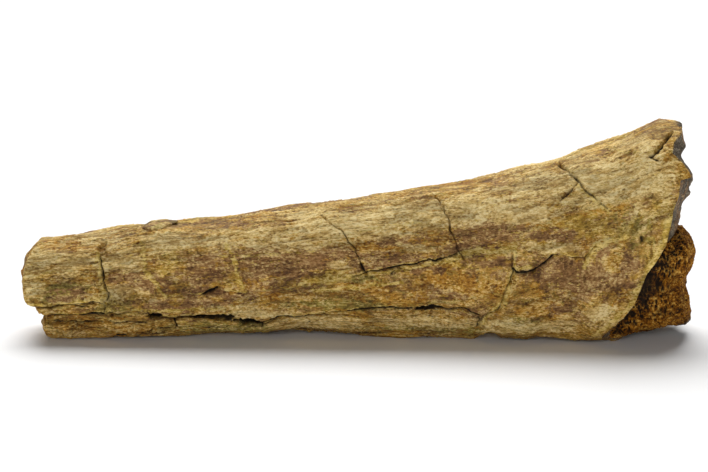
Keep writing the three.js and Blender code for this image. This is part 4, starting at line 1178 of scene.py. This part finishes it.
def compact_material(colours, groups):
    """Compact bone: ochre grains and fibres, with umber, orange, yellow and olive stains, worn cream patches
    and painted highlights, crumbs, small pits, mineral crust along veins, dark broken faces, painted light
    and shade from the relief, and dirt and painted shade in cracks."""
    material, desk, shader = new_material("weathered compact bone", 0.72, 0.25)
    straight = desk.attribute("straight")
    place = desk.add("ShaderNodeTexCoord").outputs["Object"]
    grain = desk.group(groups["grain"], {"Place": place, "Straight": straight})
    fray = desk.cloud(desk.stretched(straight, 0.006, 0.0022), 6.0, 0.7)
    fray = desk.times(desk.minus(fray, 0.5), 2.8)

    density = desk.ramp(grain.outputs["Mottle"], 0.35, 0.65, 0.12, 0.55)
    crumbs = desk.group(groups["specks"], {"Place": place, "Length": 0.0017, "Width": 0.0010,
                                           "Share": density}).outputs["Speck"]
    holes = desk.group(groups["specks"], {"Place": straight, "Length": 0.0020, "Width": 0.0008,
                                          "Share": 0.4}).outputs["Speck"]
    # Painted light and shade: the value is lighter where the relief mask is high and where the cream mask
    # lays its highlight, and darker where the relief is low; it is also darker on pits and holes
    rise = desk.minus(desk.attribute("relief"), 0.5)
    value = grain.outputs["Value"]
    for mask, push in ((desk.attribute("crumb"), 0.18), (desk.attribute("pit"), -0.2), (holes, -0.34),
                       (rise, 0.25), (desk.attribute("cream"), 0.2)):
        value = desk.plus(value, desk.times(mask, push))
    bright = desk.plus(value, 0.24)

    def over(colour, amount, name, shade=value):
        """Lay another finish over the colour so far."""
        return desk.mix(amount, colour, tones(desk, groups, shade, colours, name))

    colour = tones(desk, groups, value, colours, "ochre")
    drift = desk.cloud(desk.stretched(straight, 0.011, 0.004), 5.0, 0.66)
    drift = desk.plus(drift, desk.times(desk.minus(grain.outputs["Chip"], 0.5), 0.13))
    turn = desk.cloud(desk.stretched(place, 0.0036, 0.0015), 6.0, 0.7)
    fields = {"drift": drift, "turn": turn}
    for field, bare, full, strength, name in DRIFTING_STAINS:
        colour = over(colour, desk.ramp(fields[field], bare, full, 0.0, strength), name)
    for name, strength in PATCH_STRENGTHS:
        patch = desk.ramp(desk.plus(desk.attribute(name), fray), 0.28, 0.52)
        colour = over(colour, desk.times(patch, strength), name)
    colour = over(colour, desk.times(crumbs, 0.8), "yellow", bright)
    colour = over(colour, desk.times(desk.attribute("crumb"), 0.4), "cream")

    crust = desk.group(groups["crust"], {"Place": place, "Amount": desk.attribute("vein")}).outputs["Crust"]
    colour = over(colour, desk.times(crust, 0.85), "yellow", bright)
    colour = over(colour, desk.attribute("broken"), "break")
    rusty = desk.times(desk.attribute("broken"), desk.ramp(drift, 0.50, 0.43, 0.0, 0.6))
    colour = over(colour, rusty, "umber")
    colour = over(colour, desk.attribute("sponge"), "sponge")
    lay_dirt_and_shade(desk, groups, colour, colours, shader)
    desk.tree.links.new(desk.ramp(value, 0.2, 0.9, 0.65, 0.88), shader.inputs["Roughness"])
    height = grain.outputs["Height"]
    for field, lift in ((crust, 0.35), (crumbs, 0.35), (holes, -0.4)):
        height = desk.plus(height, desk.times(field, lift))
    raise_surface(desk, height, 1.0, shader)
    return material


def spongy_material(colours, groups):
    """Spongy bone: rusty walls between near-black pores of dirt and painted shade, a painted shadow along
    the front rim, and a rind of compact bone underneath.
    """
    material, desk, shader = new_material("spongy bone", 0.8, 0.15)
    place = desk.add("ShaderNodeTexCoord").outputs["Object"]
    grain = desk.group(groups["grain"], {"Place": place, "Straight": place, "Grain": 0.0010, "Stretch": 1.1,
                                         "Contrast": 1.1})
    walls = tones(desk, groups, grain.outputs["Value"], colours, "sponge")
    rind = tones(desk, groups, grain.outputs["Value"], colours, "break")
    lay_dirt_and_shade(desk, groups, desk.mix(desk.attribute("rind"), walls, rind), colours, shader)
    raise_surface(desk, grain.outputs["Height"], 0.9, shader)
    return material


def colour_property(label, note, value):
    """A colour that the sidebar can change."""
    return FloatVectorProperty(name=label, description=note, subtype="COLOR", size=3, min=0, max=1,
                               default=value)


def tone_properties():
    """A colour property for every tone of every finish, named as in ochre_dark."""
    return {
        finish + "_" + shade.lower(): colour_property(
            label + ", " + shade.lower(), note + ", " + shade.lower() + " tone", value)
        for finish, (label, note, *values) in FINISHES.items()
        for shade, value in zip(SHADES, values)
    }


class BoneSettings(bpy.types.PropertyGroup):
    """Colours of the fossil, and how fine its surface is."""

    around: IntProperty(name="Points round", description="Points round the shaft", default=330, min=60,
                        max=400)
    rings: IntProperty(name="Rings", description="Rings along each length of the shaft", default=298,
                       min=120, max=400)
    # The dirt colour is also the painted shade in cracks, pores and low places
    dirt: colour_property("Dirt", "Dirt deep in cracks and pores", (0.010, 0.006, 0.004))


BoneSettings.__annotations__.update(tone_properties())


class StageSettings(bpy.types.PropertyGroup):
    """Camera, light and floor."""

    elevation: FloatProperty(name="Elevation", description="Height of the camera above the level",
                             subtype="ANGLE", default=math.radians(12.0))
    distance: FloatProperty(name="Distance", description="Camera to the middle of the bone", unit="LENGTH",
                            default=0.875)
    focal: FloatProperty(name="Focal length", description="Lens in millimetres", default=100.0, min=20)
    aim: FloatVectorProperty(name="Aim", description="Point that the camera looks at", subtype="XYZ",
                             default=(-0.0013, 0.0, 0.0442))
    floor_size: FloatProperty(name="Floor", description="Side of the floor", unit="LENGTH", default=12.0)
    overhead_strength: FloatProperty(name="Overhead light", description="Strength of the large soft light",
                                     default=3.85)
    front_strength: FloatProperty(name="Front light", description="Strength of the smaller light",
                                  default=0.85)
    sky_strength: FloatProperty(name="Fill light", description="Strength of the light from all round",
                                default=0.06)


def shared_groups():
    """The shader groups, made once."""
    known = bpy.data.node_groups
    makers = {"tones": ("Bone tones", tone_group), "grain": ("Bone grain", grain_group),
              "crust": ("Mineral crust", crust_group), "specks": ("Specks", speck_group),
              "dirt": ("Dirt in hollows", dirt_and_shade_group)}
    return {key: known.get(name) or make() for key, (name, make) in makers.items()}


class FOSSIL_OT_compact_bone(bpy.types.Operator):
    """Make the compact bone, in three lengths that meet at old breaks"""

    bl_idname = "fossil.compact_bone"
    bl_label = "Compact bone"

    def execute(self, context):
        settings = context.scene.fossil_bone
        material = compact_material(settings, shared_groups())
        turns = np.arange(settings.around) / settings.around
        lengths = {
            "butt_length": (butt_break, lower_break, BUTT_RINGS, JOINT_RINGS),
            "middle_length": (lower_break, upper_break, JOINT_RINGS, JOINT_RINGS),
            "flare_length": (upper_break, flare_break, JOINT_RINGS, FLARE_RINGS),
        }
        for name, (start, finish, first, last) in lengths.items():
            points, masks, straight = compact_length(turns, settings.rings, start, finish, first, last)
            joints = [row for row, face in ((first, start), (settings.rings - last - 1, finish))
                      if face in (lower_break, upper_break)]
            piece = closed_grid(name, points, masks, straight, material, joints)
            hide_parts("bone")
        return {"FINISHED"}


class FOSSIL_OT_crest_flake(bpy.types.Operator):
    """Make the loose flake that lies on the crest"""

    bl_idname = "fossil.crest_flake"
    bl_label = "Crest flake"

    def execute(self, context):
        material = compact_material(context.scene.fossil_bone, shared_groups())
        piece = closed_grid("crest_flake", *flake_surface(*FLAKE_GRID), material)
        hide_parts("bone")
        return {"FINISHED"}


class FOSSIL_OT_spongy_bone(bpy.types.Operator):
    """Make the spongy bone that stands out of the flared end"""

    bl_idname = "fossil.spongy_bone"
    bl_label = "Spongy bone"

    def execute(self, context):
        settings = context.scene.fossil_bone
        points, masks, place = spongy_surface(*SPONGY_GRID)
        piece = closed_grid("spongy_bone", points, masks, place, spongy_material(settings, shared_groups()))
        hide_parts("bone")
        return {"FINISHED"}


class FOSSIL_OT_stage(bpy.types.Operator):
    """Make the pale floor, the soft light and the camera"""

    bl_idname = "fossil.stage"
    bl_label = "Stage"

    def execute(self, context):
        scene = context.scene
        stage = scene.fossil_stage
        half = stage.floor_size / 2
        mesh = bpy.data.meshes.new("floor")
        mesh.from_pydata([(-half, -half, 0), (half, -half, 0), (half, half, 0), (-half, half, 0)], [],
                         [(0, 1, 2, 3)])
        floor = bpy.data.objects.new("floor", mesh)
        scene.collection.objects.link(floor)
        material, _, shader = new_material("pale floor", 0.9, 0.0)
        shader.inputs["Base Color"].default_value = (FLOOR_SHADE, FLOOR_SHADE, FLOOR_SHADE, 1)
        mesh.materials.append(material)

        for name, strength, angles in (("overhead", stage.overhead_strength, OVERHEAD_ANGLES),
                                       ("front", stage.front_strength, FRONT_ANGLES)):
            spread, lean, side = angles
            light = bpy.data.lights.new(name, "SUN")
            light.energy = strength
            light.angle = math.radians(spread)
            lamp = bpy.data.objects.new(name, light)
            lamp.rotation_euler = (math.radians(lean), math.radians(side), 0)
            scene.collection.objects.link(lamp)

        world = bpy.data.worlds.new("soft studio")
        world.use_nodes = True
        world.node_tree.nodes["Background"].inputs["Color"].default_value = (1, 1, 1, 1)
        world.node_tree.nodes["Background"].inputs["Strength"].default_value = stage.sky_strength
        scene.world = world

        camera = bpy.data.cameras.new("camera")
        camera.lens = stage.focal
        camera.sensor_width = 36.0
        view = bpy.data.objects.new("camera", camera)
        back = Vector((0, -math.cos(stage.elevation), math.sin(stage.elevation)))
        view.location = Vector(stage.aim) + stage.distance * back
        view.rotation_euler = (math.pi / 2 - stage.elevation, 0, 0)
        scene.collection.objects.link(view)
        scene.camera = view
        scene.view_settings.view_transform = "Standard"
        return {"FINISHED"}


class FOSSIL_PT_panel(bpy.types.Panel):
    """Sidebar panel with the pieces, their colours and the stage"""

    bl_idname = "FOSSIL_PT_panel"
    bl_label = "Fossil bone"
    bl_space_type = "VIEW_3D"
    bl_region_type = "UI"
    bl_category = "Fossil bone"

    def draw(self, context):
        for settings in (context.scene.fossil_bone, context.scene.fossil_stage):
            for key in settings.bl_rna.properties.keys():
                if key not in ("rna_type", "name"):
                    self.layout.prop(settings, key)
        for operator in OPERATORS:
            self.layout.operator(operator.bl_idname)


OPERATORS = (FOSSIL_OT_compact_bone, FOSSIL_OT_crest_flake, FOSSIL_OT_spongy_bone, FOSSIL_OT_stage)
CLASSES = (BoneSettings, StageSettings, *OPERATORS, FOSSIL_PT_panel)


def register():
    """Make the classes known and hang the settings on the scene."""
    for cls in CLASSES:
        bpy.utils.register_class(cls)
    bpy.types.Scene.fossil_bone = PointerProperty(type=BoneSettings)
    bpy.types.Scene.fossil_stage = PointerProperty(type=StageSettings)


def unregister():
    """Take the settings and the classes away again."""
    del bpy.types.Scene.fossil_stage
    del bpy.types.Scene.fossil_bone
    for cls in reversed(CLASSES):
        bpy.utils.unregister_class(cls)


def main():
    """Build everything in order."""
    register()
    bpy.ops.fossil.compact_bone()
    bpy.ops.fossil.crest_flake()
    bpy.ops.fossil.spongy_bone()
    bpy.ops.fossil.stage()


if __name__ == "__main__":
    main()
